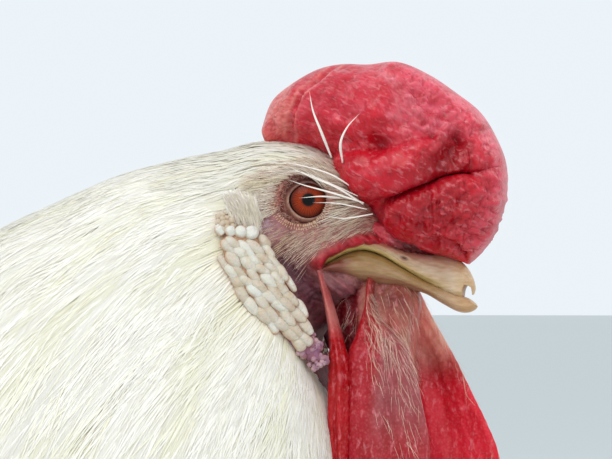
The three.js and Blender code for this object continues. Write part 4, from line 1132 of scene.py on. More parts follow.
def lobe_beads(side):
    """Beads laid in cords that run down and forward over the pad like strands of rope: round ones in a
    row at the top, long overlapping ones below, and small purple pebbles at the tip."""
    forms, tints = [], []
    measured = np.append(0, np.cumsum(np.hypot(*np.diff(np.array(LOBE)[:, :2], axis=0).T)))
    along_it, across_it, outward_it = lobe_axes(side)

    def add(s, t, long, wide, tall, lean, white):
        u = np.interp(s, measured, np.arange(len(LOBE)))
        x, z, out, half = track(LOBE, u)
        share = t / half
        raised = (LOBE_THICK - 1.0) * np.sqrt(max(0.02, 1 - 0.85 * min(1.0, share**2))) - 0.45
        before = min(s, 0)  # how far above the pad's upper end
        middle = np.array([x, side * out, z]) + across_it * t + along_it * before
        form, facing = bead(middle + outward_it * (raised + 0.5 * before), long, wide, tall, lean, side)
        # Bead flanks that turn into the gaps go amber: partly the skin's own colour, partly painted shade in
        # the creases.
        amber_reach = rng.uniform(0.0, 0.46)
        forms.append(form)
        tints.append(per_point(between(AMBER, white, smooth(facing, amber_reach - 0.15, amber_reach + 0.2))))

    for t in np.arange(-4.3, 4.4, 2.45):
        size = 1.65 + 0.07 * t
        down = TOP_ROW[0] + TOP_ROW[1] * t
        add(down, t + rng.uniform(-0.15, 0.15), size, size, size, rng.uniform(-0.3, 0.3), BEAD_WHITE)
    for s, t in SMALL_BEADS:
        size = rng.uniform(0.8, 1.0)
        add(s, t, size * 1.15, size * 0.95, size, rng.uniform(0, 3), BEAD_WHITE if t < -3.5 else BEAD_CREAM)
    for first in np.arange(-16, 8, CORD_APART):
        s = rng.uniform(0, 1.5)
        phase = rng.uniform(0, 6)
        while s < CORD_LENGTH:
            long = rng.uniform(2.2, 3.2)
            s += long * 0.58
            t = first + s * np.tan(CORD_LEAN) + 0.45 * np.sin(s * 0.45 + phase)
            half = np.interp(s, measured, [row[3] for row in LOBE])
            if abs(t) < half * 1.07 and s > TOP_ROW[0] + 2.0 + TOP_ROW[1] * t:
                slim = 1 - 0.35 * smooth(abs(t) / half, 0.85, 1.12)
                purple = smooth(s + 0.9 * t, PURPLE_FROM - 1, PURPLE_FROM + 3)
                if purple < 0.6:
                    white = between(BEAD_WHITE, BEAD_CREAM, rng.random())
                    lean = CORD_LEAN + 0.2 * np.cos(s * 0.45 + phase) + 0.26 + rng.uniform(-0.08, 0.08)
                    lean *= 1 - 0.85 * smooth(abs(t) / half, 0.68, 0.95)
                    add(s, t, long * slim**0.5, slim * rng.uniform(1.36, 1.62), slim * rng.uniform(1.35, 1.7),
                        lean, white)
                else:
                    for _ in range(PURPLE_CLUSTER):
                        shade = between(BEAD_PURPLE, BEAD_MAUVE, rng.random())
                        size = rng.uniform(0.5, 0.85)
                        add(s + rng.uniform(-1.5, 1.5), t + rng.uniform(-1.1, 1.1), size, size * 0.9, size,
                            rng.uniform(0, 3), shade)
            s += long * 0.58
    return forms, tints


lobe_skin, lobe_sockets, lobe_place = flesh("lobe_skin", (0.93, 0.82, 0.7), Roughness=0.62,
                                            Subsurface_Weight=0.1)
lobe_grain = noise(lobe_skin, lobe_place, 1400.0, 4.0)
join(lobe_skin, bump(lobe_skin, lobe_grain, 0.8, 0.0005), lobe_sockets["Normal"])
for side, label in SIDES:
    pad = lobe_pad(side)
    beads, bead_tints = lobe_beads(side)
    lobe = together(closed(pad), *map(closed, beads))
    pad_tint = between(AMBER, BEAD_PURPLE, smooth(-np.append(pad[..., 2].ravel(), [0, -50]), 31, 36))
    lobe_tint = np.vstack([pad_tint, *bead_tints])
    add_piece(f"lobe_pad_{label}", lobe, lobe_skin, "lobe_skin", f"lobe_{label}", tint=lobe_tint)

# ---- Ground for the coat ----
# Feathers grow from the skin in rows. Each leaves the skin at its root, lies back along the body over
# the roots of the next, and reaches the coat's outer form at its tip. Vanes are thin sheets of mesh.


def ground_of(points, wrap):
    """A grid to lay feathers on: its points with their slopes down and across the grid, and normals."""
    down = np.gradient(points, axis=0)
    over = (np.roll(points, -1, 1) - np.roll(points, 1, 1)) / 2 if wrap else np.gradient(points, axis=1)
    fields = np.concatenate([points, down, over, grid_normals(points, wrap)], -1)
    return np.concatenate([fields, fields[:, :1]], 1) if wrap else fields


def look_up(ground, row, col, wrap):
    """The ground's fields at fractional rows and columns, blended from the four nearest grid points."""
    rows, cols = ground.shape[0] - 1, ground.shape[1] - 1
    row = np.clip(row, 0, rows - 1e-6)
    col = np.mod(col, cols) if wrap else np.clip(col, 0, cols - 1e-6)
    i, j = row.astype(int), np.minimum(col.astype(int), cols - 1)
    s, t = (row - i)[..., None], (col - j)[..., None]
    here = ground[i, j] * (1 - t) + ground[i, j + 1] * t
    below = ground[i + 1, j] * (1 - t) + ground[i + 1, j + 1] * t
    return np.split(here * (1 - s) + below * s, 4, -1)


HACKLE, ROUND, STRAND, DOWNY = "hackle", "round", "strand", "downy"
HAIR = {"steps": 6, "half_count": 0}  # a vane with no points between its edges


def vane_width(kind, s):
    """A vane's width at share s of its length, as a share of the greatest."""
    if kind == HACKLE:
        return (0.45 + 0.55 * smooth(s, 0, 0.3)) * np.clip(1 - s**2.2, 0, 1) ** 0.8 + 0.02
    if kind == ROUND:
        return (0.4 + 0.6 * smooth(s, 0,
                                   0.4)) * np.sqrt(np.clip(1 - np.clip((s - 0.55) / 0.452, 0, 1) ** 2.4, 0,
                                                           1))
    if kind == DOWNY:
        return (0.5 + 0.5 * smooth(s, 0, 0.5)) * np.clip(1 - s**5, 0, 1) ** 0.6 + 0.02
    return np.clip(1 - s, 0, 1) ** 0.7 * 0.9 + 0.1


def lay(ground, wrap, row, col, length, width, turn, root, tip, kind, steps=8, half_count=2, curl=0.0,
        camber=0.3, aim=None, ease=0.6, place=None):
    """Vanes laid over a ground. From its root each takes steps along the surface, headed down the grid
    and turned by its angle (or towards a fixed direction), and rises from root height to tip height.
    At each step the vane is spread to both sides by its width, its edges lowered by the camber.
    Returns the points (vane, step, across, 3), each vane's place on the skin's unwrap, its width and its
    length, and the shares of the width at which its points lie."""
    row, col = np.array(row, float), np.array(col, float)
    rows, cols = ground.shape[0] - 1, ground.shape[1] - 1
    spread = np.linspace(-1, 1, 2 * half_count + 1) if half_count else np.array([-1.0, 1.0])
    place = np.stack([np.mod(col, cols) / cols, row / rows], -1) if place is None else place
    length, width, turn, root, tip, curl = (
        np.broadcast_to(np.asarray(v, float), row.shape)[:, None]
        for v in (length, width, turn, root, tip, curl)
    )
    strips, last, heading = [], None, None
    for k in range(steps + 1):
        s = k / steps
        point, down, over, normal = look_up(ground, row, col, wrap)
        if last is not None:
            beyond = ((row >= rows) | (row <= 0))[:, None]
            point = np.where(beyond, last + heading * length / steps, point)
        normal = unit(normal)
        if aim is None:
            first = unit(down)
            angle = turn + curl * s
            heading = first * np.cos(angle) + np.cross(normal, first) * np.sin(angle)
        else:
            heading = unit(aim - normal * (aim * normal).sum(-1, keepdims=True))
        last = point
        height = root + (tip - root) * smooth(s, 0, ease)
        half = width / 2 * vane_width(kind, np.array(s))
        sideways = np.cross(normal, heading)
        strip = (point + normal * height)[:, None] + sideways[:, None] * (half * spread)[..., None]
        strips.append(strip - normal[:, None] * (half * camber * spread**2)[..., None])
        dd, do, oo = (down * down).sum(-1), (down * over).sum(-1), (over * over).sum(-1)
        hd, ho = (heading * down).sum(-1), (heading * over).sum(-1)
        flat = np.maximum(dd * oo - do * do, 1e-9)
        row = row + (oo * hd - do * ho) / flat * length[:, 0] / steps
        col = col + (dd * ho - do * hd) / flat * length[:, 0] / steps
    points = np.stack(strips, 1)
    return {"points": points, "place": place, "spread": spread, "width": width[:, 0], "length": length[:, 0]}


BAKE_HALF = 0.0015  # half the width of a feather's patch on the OFBake map


def vanes_piece(name, material, sets, shades, *nodes):
    """One joined mesh of several sets of vanes. Each vane is a small patch of the OFBake map at its own
    place, has its breadth and length in millimetres on the Vane map, and its own shade of white. Roots
    are creamier, partly the feathers' own tone and partly painted shade where they lie under others;
    soft yellowish streaks along the locks and a slightly darker lower body are painted shade."""
    forms, bake, vane, tint = [], [], [], []
    rooty, tippy, spread_of = shades
    for laid in sets:
        points = laid["points"]
        count, steps, across = points.shape[:3]
        i, j, k = np.meshgrid(np.arange(count), np.arange(steps - 1), np.arange(across - 1), indexing="ij")
        start = (i * steps + j) * across + k
        quads = np.stack([start, start + across, start + across + 1, start + 1], -1).reshape(-1, 4)
        forms.append((points.reshape(-1, 3), [quads]))
        s = np.broadcast_to(np.linspace(0, 1, steps)[None, :, None], (count, steps, across))
        v = np.broadcast_to(laid["spread"][None, None, :], (count, steps, across))
        home = np.clip(laid["place"], 2 * BAKE_HALF, 1 - 2 * BAKE_HALF)[:, None, None]
        bake.append((home + BAKE_HALF * np.stack([v, 2 * s - 1], -1)).reshape(-1, 2))
        own = rng.uniform(0, 40, count)[:, None, None]
        width, length = laid["width"][:, None, None], laid["length"][:, None, None]
        vane.append(np.stack([v * width / 2 + own, s * length + own], -1).reshape(-1, 2))
        bright = (1 + rng.normal(0, spread_of, count))[:, None, None, None]
        # From the root's tone to the tip's: the creamier roots are partly the feathers' own tone, partly
        # painted shade under the feathers above.
        tone = between(rooty, tippy, smooth(s, 0.0, 0.65)) * bright
        round_it, down = laid["place"].T
        # Painted shadow: soft yellowish streaks along the locks, where feathers part.
        darkening = smooth(waves(round_it * 150, down * 24, 9), 0.0, 0.9)[:, None, None, None]
        # Painted shade: a little darker from the lower neck back over the trunk.
        low_down_shade = smooth(down, 0.42, 0.62)[:, None, None, None]
        tone = tone * (1 - darkening * np.array([0.05, 0.05, 0.16])) * (1 - 0.05 * low_down_shade)
        tint.append(np.clip(tone, 0, 1).reshape(-1, 3))
    maps = (("OFBake", np.vstack(bake)), ("Vane", np.vstack(vane)))
    add_piece(name, together(*forms), material, "plumage", *nodes, maps=maps, tint=np.vstack(tint))


def feather_paint(name, lean, fine, contrast, **sockets):
    """White vane: barbs as irregular lines that leave the shaft at a slant, a little darker between."""
    made, inputs = shader(name, **sockets)
    vane = node(made, "ShaderNodeUVMap", uv_map="Vane").outputs[0]
    breadth, length, _ = node(made, "ShaderNodeSeparateXYZ", {0: vane}).outputs

    def worked(way, first, second):
        return node(made, "ShaderNodeMath", {0: first, 1: second}, operation=way).outputs[0]

    barb = worked("SUBTRACT", breadth, worked("MULTIPLY", length, lean))
    lines = node(made, "ShaderNodeCombineXYZ", {0: barb, 1: worked("MULTIPLY", length, 0.06)}).outputs[0]
    streak = noise(made, lines, fine, 3.0)
    tint = own_tint(made)
    dark = dimmed(made, tint, 1 - contrast * np.array([0.8, 0.9, 1.6]))
    join(made, mix(made, ramp(made, streak, 0.36, 0.6), dark, tint), inputs["Base Color"])
    join(made, bump(made, streak, 0.35, 0.0004), inputs["Normal"])
    return made


silky = {"Subsurface_Weight": 0.2, "Subsurface_Scale": 0.0024, "Subsurface_Radius": (1.0, 0.95, 0.85)}
downy = {**silky, "Subsurface_Weight": 0.12, "Subsurface_Scale": 0.0016}
hackle_paint = feather_paint("hackle_white", 0.12, 2.6, 0.1, Roughness=0.6, Sheen_Weight=0.15, **silky)
strand_paint = feather_paint("strand_white", 0.0, 1.0, 0.05, Roughness=0.55, Sheen_Weight=0.2)
body_paint = feather_paint("body_white", 0.8, 1.8, 0.12, Roughness=0.7, Sheen_Weight=0.15, **downy)
# Feather roots: partly the feathers' own cream, partly painted shade where they lie under other feathers.
CREAM_SHADED_ROOT = colour(239, 232, 212)
WHITE_TIP = colour(247, 243, 235)
WHITES = (CREAM_SHADED_ROOT, WHITE_TIP, 0.025)

GROUND_ROWS, GROUND_COLS = 631, 420
body_ground = ground_of(plumage(*sweep(0, BODY_LAST, GROUND_ROWS, GROUND_COLS)), True)


def on_body(u, a, *sizes, **more):
    """Vanes laid over the body from roots at stations u and angles a."""
    row, col = u * (GROUND_ROWS - 1) / BODY_LAST, a * GROUND_COLS / (2 * np.pi)
    return lay(body_ground, True, row, col, *sizes, **more)


def rows_over(start, end, down, apart, jitter=0.5, keep=None):
    """Root places in rows over the body from station start to end: rows are down millimetres apart on
    the side, roots are apart millimetres apart in each row, both given as functions of the station, and
    all are shifted at random by a share of that."""
    u, places = start, []
    while u < end:
        ring = plumage(*sweep(u, u, 1, 240))[0]
        steps = np.linalg.norm(np.roll(ring, -1, 0) - ring, axis=1)
        count = max(6, int(steps.sum() / apart(u)))
        run = np.concatenate([[0], np.cumsum(steps)])
        want = (np.arange(count) + rng.random()) / count * run[-1]
        a = np.interp(want, run, np.arange(241) * np.pi / 120)
        a = a + rng.uniform(-jitter, jitter, count) * apart(u) / track(BODY, u)[4] * 0.8
        here, next_one = plumage(np.array([u, u + 0.1]), np.full(2, np.pi * 1.5))
        per_mm = 0.1 / np.linalg.norm(next_one - here)
        along = u + rng.uniform(-jitter, jitter, count) * down(u) * per_mm
        places.append(np.stack([along, np.mod(a, 2 * np.pi)], -1))
        u += down(u) * per_mm
    places = np.vstack(places)
    return places if keep is None else places[keep(*places.T)]


# ---- Neck hackles ----
# Long narrow pointed feathers that start behind the ear and nape, lengthen down the neck, and spread as
# a cape over the shoulders and breast. Their free barbs give a silky surface of fine streaks.


LOBE_REAR = [
    (-21.3, -5), (-18.9, -16.6), (-16.2, -22.7), (-13.5, -27.4), (-8.4, -31.6), (-4, -36.1), (-0.4, -39.6),
    (3.5, -45),
]


def off_lobe(u, a):
    """Whether a root lies clear of the bare face, the ear, the ear lobe and the hollow before it."""
    spot = plumage(u, a)
    x, z = spot[:, 0], spot[:, 2]
    behind_lobe = (z < 2.2) & (x < line_x(LOBE_REAR, z) + 4.5)
    behind_ear = (z >= 2.2) & (x < np.where(z < 4.0, -18.5, -14))
    return (np.cos(a) > 0.65) | behind_lobe | behind_ear | (z < -46)


def thick_coat(u, a):
    """How deep a root lies under the coat's outer form."""
    return -np.minimum(coat_depth(u, a), 11) * 0.9


def rising(first, growth):
    """A size by station: first on the head, and growing by growth for each station behind it."""
    return lambda u: first + growth * max(0, u - 6)


u, a = rows_over(5.2, 13.6, rising(3.0, 1.0), rising(2.8, 0.9), keep=off_lobe).T
grown = smooth(u, 5.6, 11.5)
under = on_body(u, a, 15 + 36 * grown, 6.5 + 10 * grown, 0.16 * waves(u * 3, a * 9, 3),
                thick_coat(u, a) * 0.4, rng.uniform(-1.1, -0.7, len(u)) * (0.6 + 0.4 * grown), ROUND,
                steps=7, camber=0.03, ease=0.4)
vanes_piece("under_hackles", body_paint, [under], WHITES)

u, a = rows_over(5.6, 13.2, rising(1.9, 0.7), rising(1.9, 0.5), keep=off_lobe).T
grown = smooth(u, 5.6, 11.5)
hackles = on_body(u, a, (20 + 52 * grown) * rng.uniform(0.85, 1.15, len(u)),
                  (2.6 + 6.6 * grown) * rng.uniform(0.8, 1.2, len(u)),
                  0.16 * waves(u * 3, a * 9, 3) + rng.normal(0, 0.05, len(u)), thick_coat(u, a) * 0.25,
                  rng.uniform(-0.4, -0.15, len(u)) * (0.5 + 0.5 * grown), HACKLE, steps=9,
                  camber=0.03, ease=0.5)
vanes_piece("hackles", hackle_paint, [hackles], WHITES)

# Loose barbs over the hackles, further apart on the lower neck.
for name, start, end, apart in (("upper", 5.6, 8.6, 1.0), ("lower", 8.6, 12.9, 1.36)):
    u, a = rows_over(start, end, rising(apart, 0.22 * apart), rising(0.46 * apart, 0.12 * apart),
                     keep=off_lobe).T
    grown = smooth(u, 5.6, 11.5)
    strands = on_body(u, a, (13 + 30 * grown) * rng.uniform(0.7, 1.3, len(u)),
                      rng.uniform(0.22, 0.6, len(u)) * (1 + 0.7 * grown),
                      0.2 * waves(u * 4, a * 14, 5) + rng.normal(0, 0.07, len(u)),
                      rng.uniform(-0.7, -0.4, len(u)), rng.uniform(-0.15, 0.1, len(u)), STRAND,
                      **HAIR, ease=0.7)
    vanes_piece(f"hackle_barbs_{name}", strand_paint, [strands], (CREAM_SHADED_ROOT, WHITE_TIP, 0.02))

# ---- Crown, ear and face ----
# Short silky feathers sweep back from the comb over the brow and the nape. A stiff white tuft hides the
# ear. Fine cream bristles run back over the bare face, thicker before the eye and along the lower lid.

CROWN_EDGE = [
    (-30, 1.8), (-20, 3.4), (-13.7, 4.3), (-7.6, 6.2), (-3.6, 7.9), (1.9, 8.7), (7.4, 6.8), (11.5, 4.2),
    (14, 1), (16, -2.5),
]


def off_eye(laid, clear):
    """The vanes that keep further than clear from the eye's middle along their whole length."""
    far = np.hypot(laid["points"][..., 0], laid["points"][..., 2]).min((1, 2)) > clear
    return {key: value if key == "spread" else value[far] for key, value in laid.items()}


def on_crown(u, a):
    """Whether a root lies above the crown feathers' lower edge."""
    spot = plumage(u, a)
    return spot[:, 2] > np.interp(spot[:, 0], *np.array(CROWN_EDGE).T) + rng.uniform(-0.8, 0.8, len(u))


u, a = rows_over(1.6, 6.5, lambda u: 0.95, lambda u: 0.62, keep=on_crown).T
crown = on_body(u, a, rng.uniform(8, 17, len(u)) * (1 - 0.4 * smooth(-u, -4, -2)),
                rng.uniform(0.5, 1.5, len(u)),
                0.16 * waves(u * 4, a * 10, 8) + rng.normal(0, 0.06, len(u)), -0.8,
                rng.uniform(-0.12, 0.18, len(u)), STRAND, steps=6, half_count=1, camber=0.1)
# Darker creamy roots: partly the feathers' own tone, partly painted shade in the gaps between them.
CROWN_TONES = (colour(222, 214, 195), colour(241, 236, 225), 0.04)
vanes_piece("crown_feathers", hackle_paint, [off_eye(crown, 7.4)], CROWN_TONES)


def both_sides(x, z):
    """Roots on the right side at spots seen from the side, and the same spots on the left."""
    u, a = side_spot(x, z)
    return np.concatenate([u, u]), np.concatenate([a, 2 * np.pi - a])


def flowing(x, z, spread):
    """Directions seen from the side, each thrown off a little at random, and then their mirror images."""
    flow = unit(np.stack([x, 0 * x, z], -1) + rng.normal(0, spread, (len(x), 3)))
    return np.concatenate([flow, flow * [1, -1, 1]])


BRISTLES = 3900
x, z = rng.uniform(-22, 21, BRISTLES * 4), rng.uniform(-36, 10, BRISTLES * 4)
before_eye = np.hypot(x - 15, (z + 1) * 0.6)
crowded = (
    0.42 + 0.2 * bell(before_eye, 6) + 0.3 * bell(np.hypot(x - 4, z + 13), 7)
    - 1.4 * bell(near(GAPE, x, z)[0], 1.9)
    - 0.3 * bell(near(HOLLOW, x, z)[0], 4) - 0.45 * smooth(-z, 9, 24)
    + 0.3 * bell(np.hypot((x + 7) / 0.8, z - 3), 4)
)
bill_edge = np.interp(x, [4, 8, 12, 16, 19, 24], [-15.5, -12.6, -9.6, -8.4, -9, -11])
fit = (np.hypot(x, z) > 7.2) & (rng.random(len(x)) < crowded) & (x > line_x(LOBE, z) + 6.4)
fit = fit & ((x < 4) | (z > bill_edge)) & (x < 20 - 0.3 * z)
x, z = x[fit][:BRISTLES], z[fit][:BRISTLES]
u, a = both_sides(x, z)
lore = bell(np.hypot(x - 15, (z + 1) * 0.6), 7)
falling = np.interp(z, [-34, -20, -14, -10, -6, 0, 4, 8], [-1.6, -1.3, -0.85, -0.5, -0.2, -0.02, 0.14, 0.2])
flow = flowing(-1 + 0 * x, falling - 0.35 * smooth(-x, 3, 10) * smooth(-z, 4, 8), 0.13)
span = rng.uniform(1.8, 4.4, len(x)) + 4.0 * lore * rng.uniform(0.4, 1.2, len(x))
span = span + 2.4 * smooth(-z, 14, 20) * smooth(x, -6, 2)
bristles = on_body(u, a, np.tile(span, 2), rng.uniform(0.07, 0.13, len(u)) + np.tile(0.07 * lore, 2), 0.0,
                   -0.2, rng.uniform(0.1, 0.6, len(u)) + np.tile(0.8 * lore, 2), STRAND, **HAIR,
                   aim=flow, ease=1.0)
BRISTLE_TONES = (colour(168, 120, 105), colour(214, 186, 166), 0.12)
vanes_piece("face_bristles", strand_paint, [off_eye(bristles, 6.6)], BRISTLE_TONES)

# Lashes: two rows of tiny stiff bristles along the lower lid.
LASHES = 38
turn = np.linspace(np.radians(-172), np.radians(-8), LASHES)
turn = np.tile(turn, 2) + rng.normal(0, 0.012, 2 * LASHES)
r = np.repeat([6.5, 7.4], LASHES) + rng.normal(0, 0.08, 2 * LASHES)
u, a = both_sides(r * np.cos(turn), r * np.sin(turn))
flow = flowing(np.cos(turn), np.sin(turn), 0.06)
lashes = on_body(u, a, rng.uniform(0.6, 0.85, len(u)), 0.28, 0.0, 0.9, 1.9, STRAND, steps=4, half_count=0,
                 aim=flow, ease=1.0)
vanes_piece("lid_lashes", strand_paint, [lashes], (colour(176, 130, 106), colour(226, 198, 168), 0.06))

# The brow's hairs: fine and sparse, swept up and back round the eye, with a few broader ones in front.
BROW_VANES = 2500
turn = rng.uniform(np.radians(20), np.radians(210), BROW_VANES)
r = np.sqrt(rng.uniform(5.9**2, 14.5**2, BROW_VANES))
crown_edge = np.interp(r * np.cos(turn), *np.array(CROWN_EDGE).T)
below = r * np.sin(turn) < crown_edge + rng.uniform(0.0, 2.2, BROW_VANES)
turn, r = turn[below], r[below]
u, a = both_sides(r * np.cos(turn), r * np.sin(turn))
flow = flowing(-np.sin(turn) * 0.6 - 0.7, 0.5 * np.cos(turn) + 0.28, 0.09)
brow = on_body(u, a, rng.uniform(1.6, 4.2, len(u)), rng.uniform(0.07, 0.17, len(u)), 0.0,
               rng.uniform(0.1, 0.5, len(u)), rng.uniform(0.5, 1.1, len(u)), STRAND, steps=5, half_count=0,
               aim=flow)
FRONT_VANES = 190
x, z = rng.uniform(8.5, 15.5, FRONT_VANES), rng.uniform(-4.5, 7.5, FRONT_VANES)
u, a = both_sides(x, z)
flow = flowing(-1 + 0 * x, 0.06 * z, 0.09)
front = on_body(u, a, rng.uniform(3, 7, len(u)), rng.uniform(0.14, 0.3, len(u)), 0.0, 0.2,
                rng.uniform(0.9, 1.8, len(u)), STRAND, **HAIR, aim=flow)
BROW_TONES = (colour(196, 168, 148), colour(232, 220, 204), 0.08)
vanes_piece("brow_feathers", strand_paint, [off_eye(brow, 6.0), off_eye(front, 6.3)], BROW_TONES)

# Hairs of the lids: short and pinkish, from the rim's outer slope away from the eye.
LID_HAIRS = 760
lid_hairs = []
for side in (-1, 1):
    ring = lid(side)[0][:LID_ROWS]
    row = (LID_ROWS - 1) * rng.uniform(0.36, 0.97, LID_HAIRS)
    col = rng.uniform(0, LID_TURNS, LID_HAIRS)
    home = np.stack([0.5 + side * (0.24 + 0.0002 * col), 0.1 + 0.001 * row], -1)
    lid_hairs.append(lay(
        ground_of(ring[:, ::side], True), True, row, col, rng.uniform(0.7, 1.7, LID_HAIRS),
        rng.uniform(0.06, 0.1, LID_HAIRS), rng.normal(0, 0.5, LID_HAIRS), 0.0,
        rng.uniform(0.2, 0.5, LID_HAIRS),
        STRAND, steps=3, half_count=0, place=home))
vanes_piece("lid_hairs", strand_paint, lid_hairs, (colour(190, 138, 122), colour(226, 192, 174), 0.09))

# The ear tuft: a dense brush of stiff white hairs that hang over the ear.
EAR_VANES = 1900
x = rng.uniform(-20, -11.4, EAR_VANES)
z = 2.1 - 0.045 * (x + 16.5) ** 2 - 5.5 * rng.uniform(0, 1, EAR_VANES) ** 1.6 + rng.normal(0, 0.25, EAR_VANES)
fit = (x > -19.8 + 0.35 * np.clip(1.0 - z, 0, 9)) & (x < -11.4)
x, z = x[fit], z[fit]
u, a = both_sides(x, z)
flow = flowing(0.18 - 0.055 * (x + 12), -1 + 0 * x, 0.09)
span = np.tile(rng.uniform(2.6, 5.5, len(x)) + 0.3 * (x + 19), 2)
ear = on_body(u, a, span, rng.uniform(0.1, 0.26, len(u)), 0.0, rng.uniform(0.0, 0.5, len(u)),
              rng.uniform(0.7, 1.9, len(u)), STRAND, steps=5, half_count=0, aim=flow, curl=0.2)
vanes_piece("ear_tuft", strand_paint, [ear], (colour(243, 239, 233), colour(217, 205, 190), 0.09))


def hang(form, rows, turns, count, lengths, aim, side):
    """Bristles scattered over part of a hanging form, between shares of its rows and angles round it."""
    ground = ground_of(form[:, ::-1], True)
    down = rng.normal(np.mean(rows), (rows[1] - rows[0]) / 2.6, count)
    down = np.clip(down, 0.16, 0.95) * (form.shape[0] - 1)
    round_it = rng.normal(np.mean(turns), (turns[1] - turns[0]) / 3, count)
    col = (form.shape[1] - 1) - round_it / (2 * np.pi) * form.shape[1]
    aims = unit(np.array(aim) + rng.normal(0, 0.16, (count, 3)))
    home = np.stack([0.5 + side * rng.uniform(0.2, 0.3, count), 0.16 + 0.1 * down / form.shape[0]], -1)
    return lay(ground, True, down, col, rng.uniform(*lengths, count), rng.uniform(0.06, 0.13, count),
               0.0, 0.0, rng.uniform(0.3, 1.6, count), STRAND, steps=5, half_count=0, aim=aims, ease=1.0,
               place=home)


def turned(low, high, side):
    """Two angles round a form, given in degrees for the left side and mirrored for the right."""
    return np.radians((low, high) if side > 0 else (360 - high, 360 - low))


# Throat bristles: stiff cream hairs that point down and forward over the pouch and the wattle's front.
throat = []
for side, label in SIDES:
    leaf = leaf_form(WATTLES[label], side, 1.0 + side)[0]
    throat += [
        hang(pouch, (0.3, 0.8), turned(8, 75, side), 190, (2.5, 7), (0.4, 0, -1), side),
        hang(pouch, (0.3, 0.75), turned(88, 140, side), 50, (3, 6), (-0.55, side * 0.4, -0.9), side),
        hang(leaf, (0.2, 0.66), turned(8, 92, side), 260, (3, 8), (0.35, 0, -1), side),
    ]
THROAT_TONES = (colour(204, 152, 136), colour(236, 210, 192), 0.08)
vanes_piece("throat_bristles", strand_paint, throat, THROAT_TONES)

# Brow quills: a few stiff white bristles that sweep back from the comb's edge over the eye, and two stray
# ones that stand up over the comb.
QUILLS = [  # points along each: x, z, distance from the middle plane; then half thickness
    ([(16.2, -1.5, 14), (10, 2.6, 17.4), (3, 5.6, 18.4), (-3.2, 8.5, 17.2)], 0.3),
    ([(16.4, -1.2, 14.2), (9, 1.2, 17.6), (2, 3.2, 18.6), (-2.6, 4.8, 18.2)], 0.3),
    ([(10.5, 0.1, 15.5), (6, 0.4, 17.6), (0.5, 0.0, 18.6)], 0.28),
    ([(18.5, -4, 13), (12, -5.2, 16.2), (6.5, -4.6, 17.6)], 0.22),
    ([(14, 2.5, 15), (8, 6.2, 17), (0, 8.6, 17.2), (-5, 9.6, 16.6)], 0.26),
    ([(15, 0.5, 15), (8, 3.8, 17.4), (1, 6.6, 18), (-4, 7.2, 17.4)], 0.2),
    ([(17, -2.8, 13.5), (10, -1.4, 17.2), (4, -1.2, 18.4)], 0.2),
    ([(8.2, 10.5, 15.5), (6.5, 17, 20.2), (4.6, 22, 20.6), (3.6, 27, 20.4)], 0.42),
    ([(11.5, 9, 17), (11.8, 13.5, 20.8), (13.6, 17.5, 21.2), (16.8, 21, 21)], 0.4),
]


def quill(points, half, side):
    """A stiff bristle: a thin rod along a smooth path, thickest low down and drawn out to a point."""
    path = track([(x, side * out, z) for x, z, out in points], np.linspace(0, len(points) - 1, 24))
    along = unit(np.gradient(path, axis=0))
    over = unit(np.cross(along, [0.0, 1.0, 0.2]))
    s = np.linspace(0, 1, 24)[:, None, None]
    a = (np.arange(6) * np.pi / 3)[None, :, None]
    size = half * np.clip(1 - s**1.6, 0.03, 1) * (0.6 + 0.4 * smooth(s, 0, 0.25))
    return path[:, None] + size * (np.cos(a) * over[:, None] + np.sin(a) * np.cross(along, over)[:, None])


for side, label in SIDES:
    rods = [closed(quill(points, half, side)) for points, half in QUILLS]
    homes = []
    for points, _ in rods:
        k = np.arange(len(points))
        patch = np.stack([np.cos(k), np.linspace(-1, 1, len(points))], -1)
        homes.append(np.array([0.5 + side * 0.2, 0.08]) + BAKE_HALF * patch)
    homes = np.vstack(homes)
    white = np.broadcast_to(colour(246, 240, 232), (len(homes), 3))
    add_piece(f"brow_quills_{label}", together(*rods), strand_paint, "plumage",
              maps=(("OFBake", homes), ("Vane", homes * 40)), tint=white)

# ---- Body feathers ----
# Broad rounded contour feathers overlap like tiles over the breast, flanks, back and belly. Long narrow
# saddle feathers hang from the back over the rump.

u, a = rows_over(11.6, 20.4, lambda u: 9.0, lambda u: 7.5).T
contour = on_body(u, a, rng.uniform(34, 46, len(u)) * (1 - 0.55 * smooth(u, 18.8, 20.2)),
                  rng.uniform(13, 19, len(u)), 0.12 * waves(u * 2, a * 4, 11) + rng.normal(0, 0.06, len(u)),
                  thick_coat(u, a) * 0.7, rng.uniform(-1.3, 0.0, len(u)), ROUND, steps=6, camber=0.12)
vanes_piece("contour_feathers", body_paint, [contour], WHITES)

# Saddle feathers: narrow and glossy like the hackles, parted along the back.
u, a = rows_over(13.4, 18.6, lambda u: 6.0, lambda u: 4.6, keep=lambda u, a: np.cos(a) > 0.35).T
saddle = on_body(u, a, rng.uniform(55, 95, len(u)), rng.uniform(4.5, 7, len(u)),
                 -0.75 * np.sign(np.sin(a)) * smooth(np.abs(np.sin(a)), 0.0, 0.5)
                 + rng.normal(0, 0.06, len(u)), thick_coat(u, a) * 0.6, rng.uniform(-0.3, 0.7, len(u)),
                 HACKLE, steps=8, camber=0.1)
vanes_piece("saddle_feathers", hackle_paint, [saddle], WHITES)

# ---- Wings ----
# Each wing is folded flat on the side. Small coverts tile its shoulder, a row of large coverts lies over
# the long secondaries, and the narrow primaries show their tips behind.

WING_CENTRE = (-142, -143)
WING_OUTLINE = [
    (-54, -130), (-70, -107), (-108, -97), (-155, -98), (-205, -104), (-246, -116), (-280, -136),
    (-244, -151), (-205, -167), (-158, -185), (-108, -190), (-68, -166),
]
WING_THICK, WING_EDGE, WING_TIP_SIDE = 10, 1.5, 27


def wing_rim(lap):
    """The wing's outline, from its centre, at laps from 0 to 1 round it."""
    looped = np.array(WING_OUTLINE[-2:] + WING_OUTLINE + WING_OUTLINE[:3], float)
    return track(looped, 2 + lap * len(WING_OUTLINE)) - WING_CENTRE


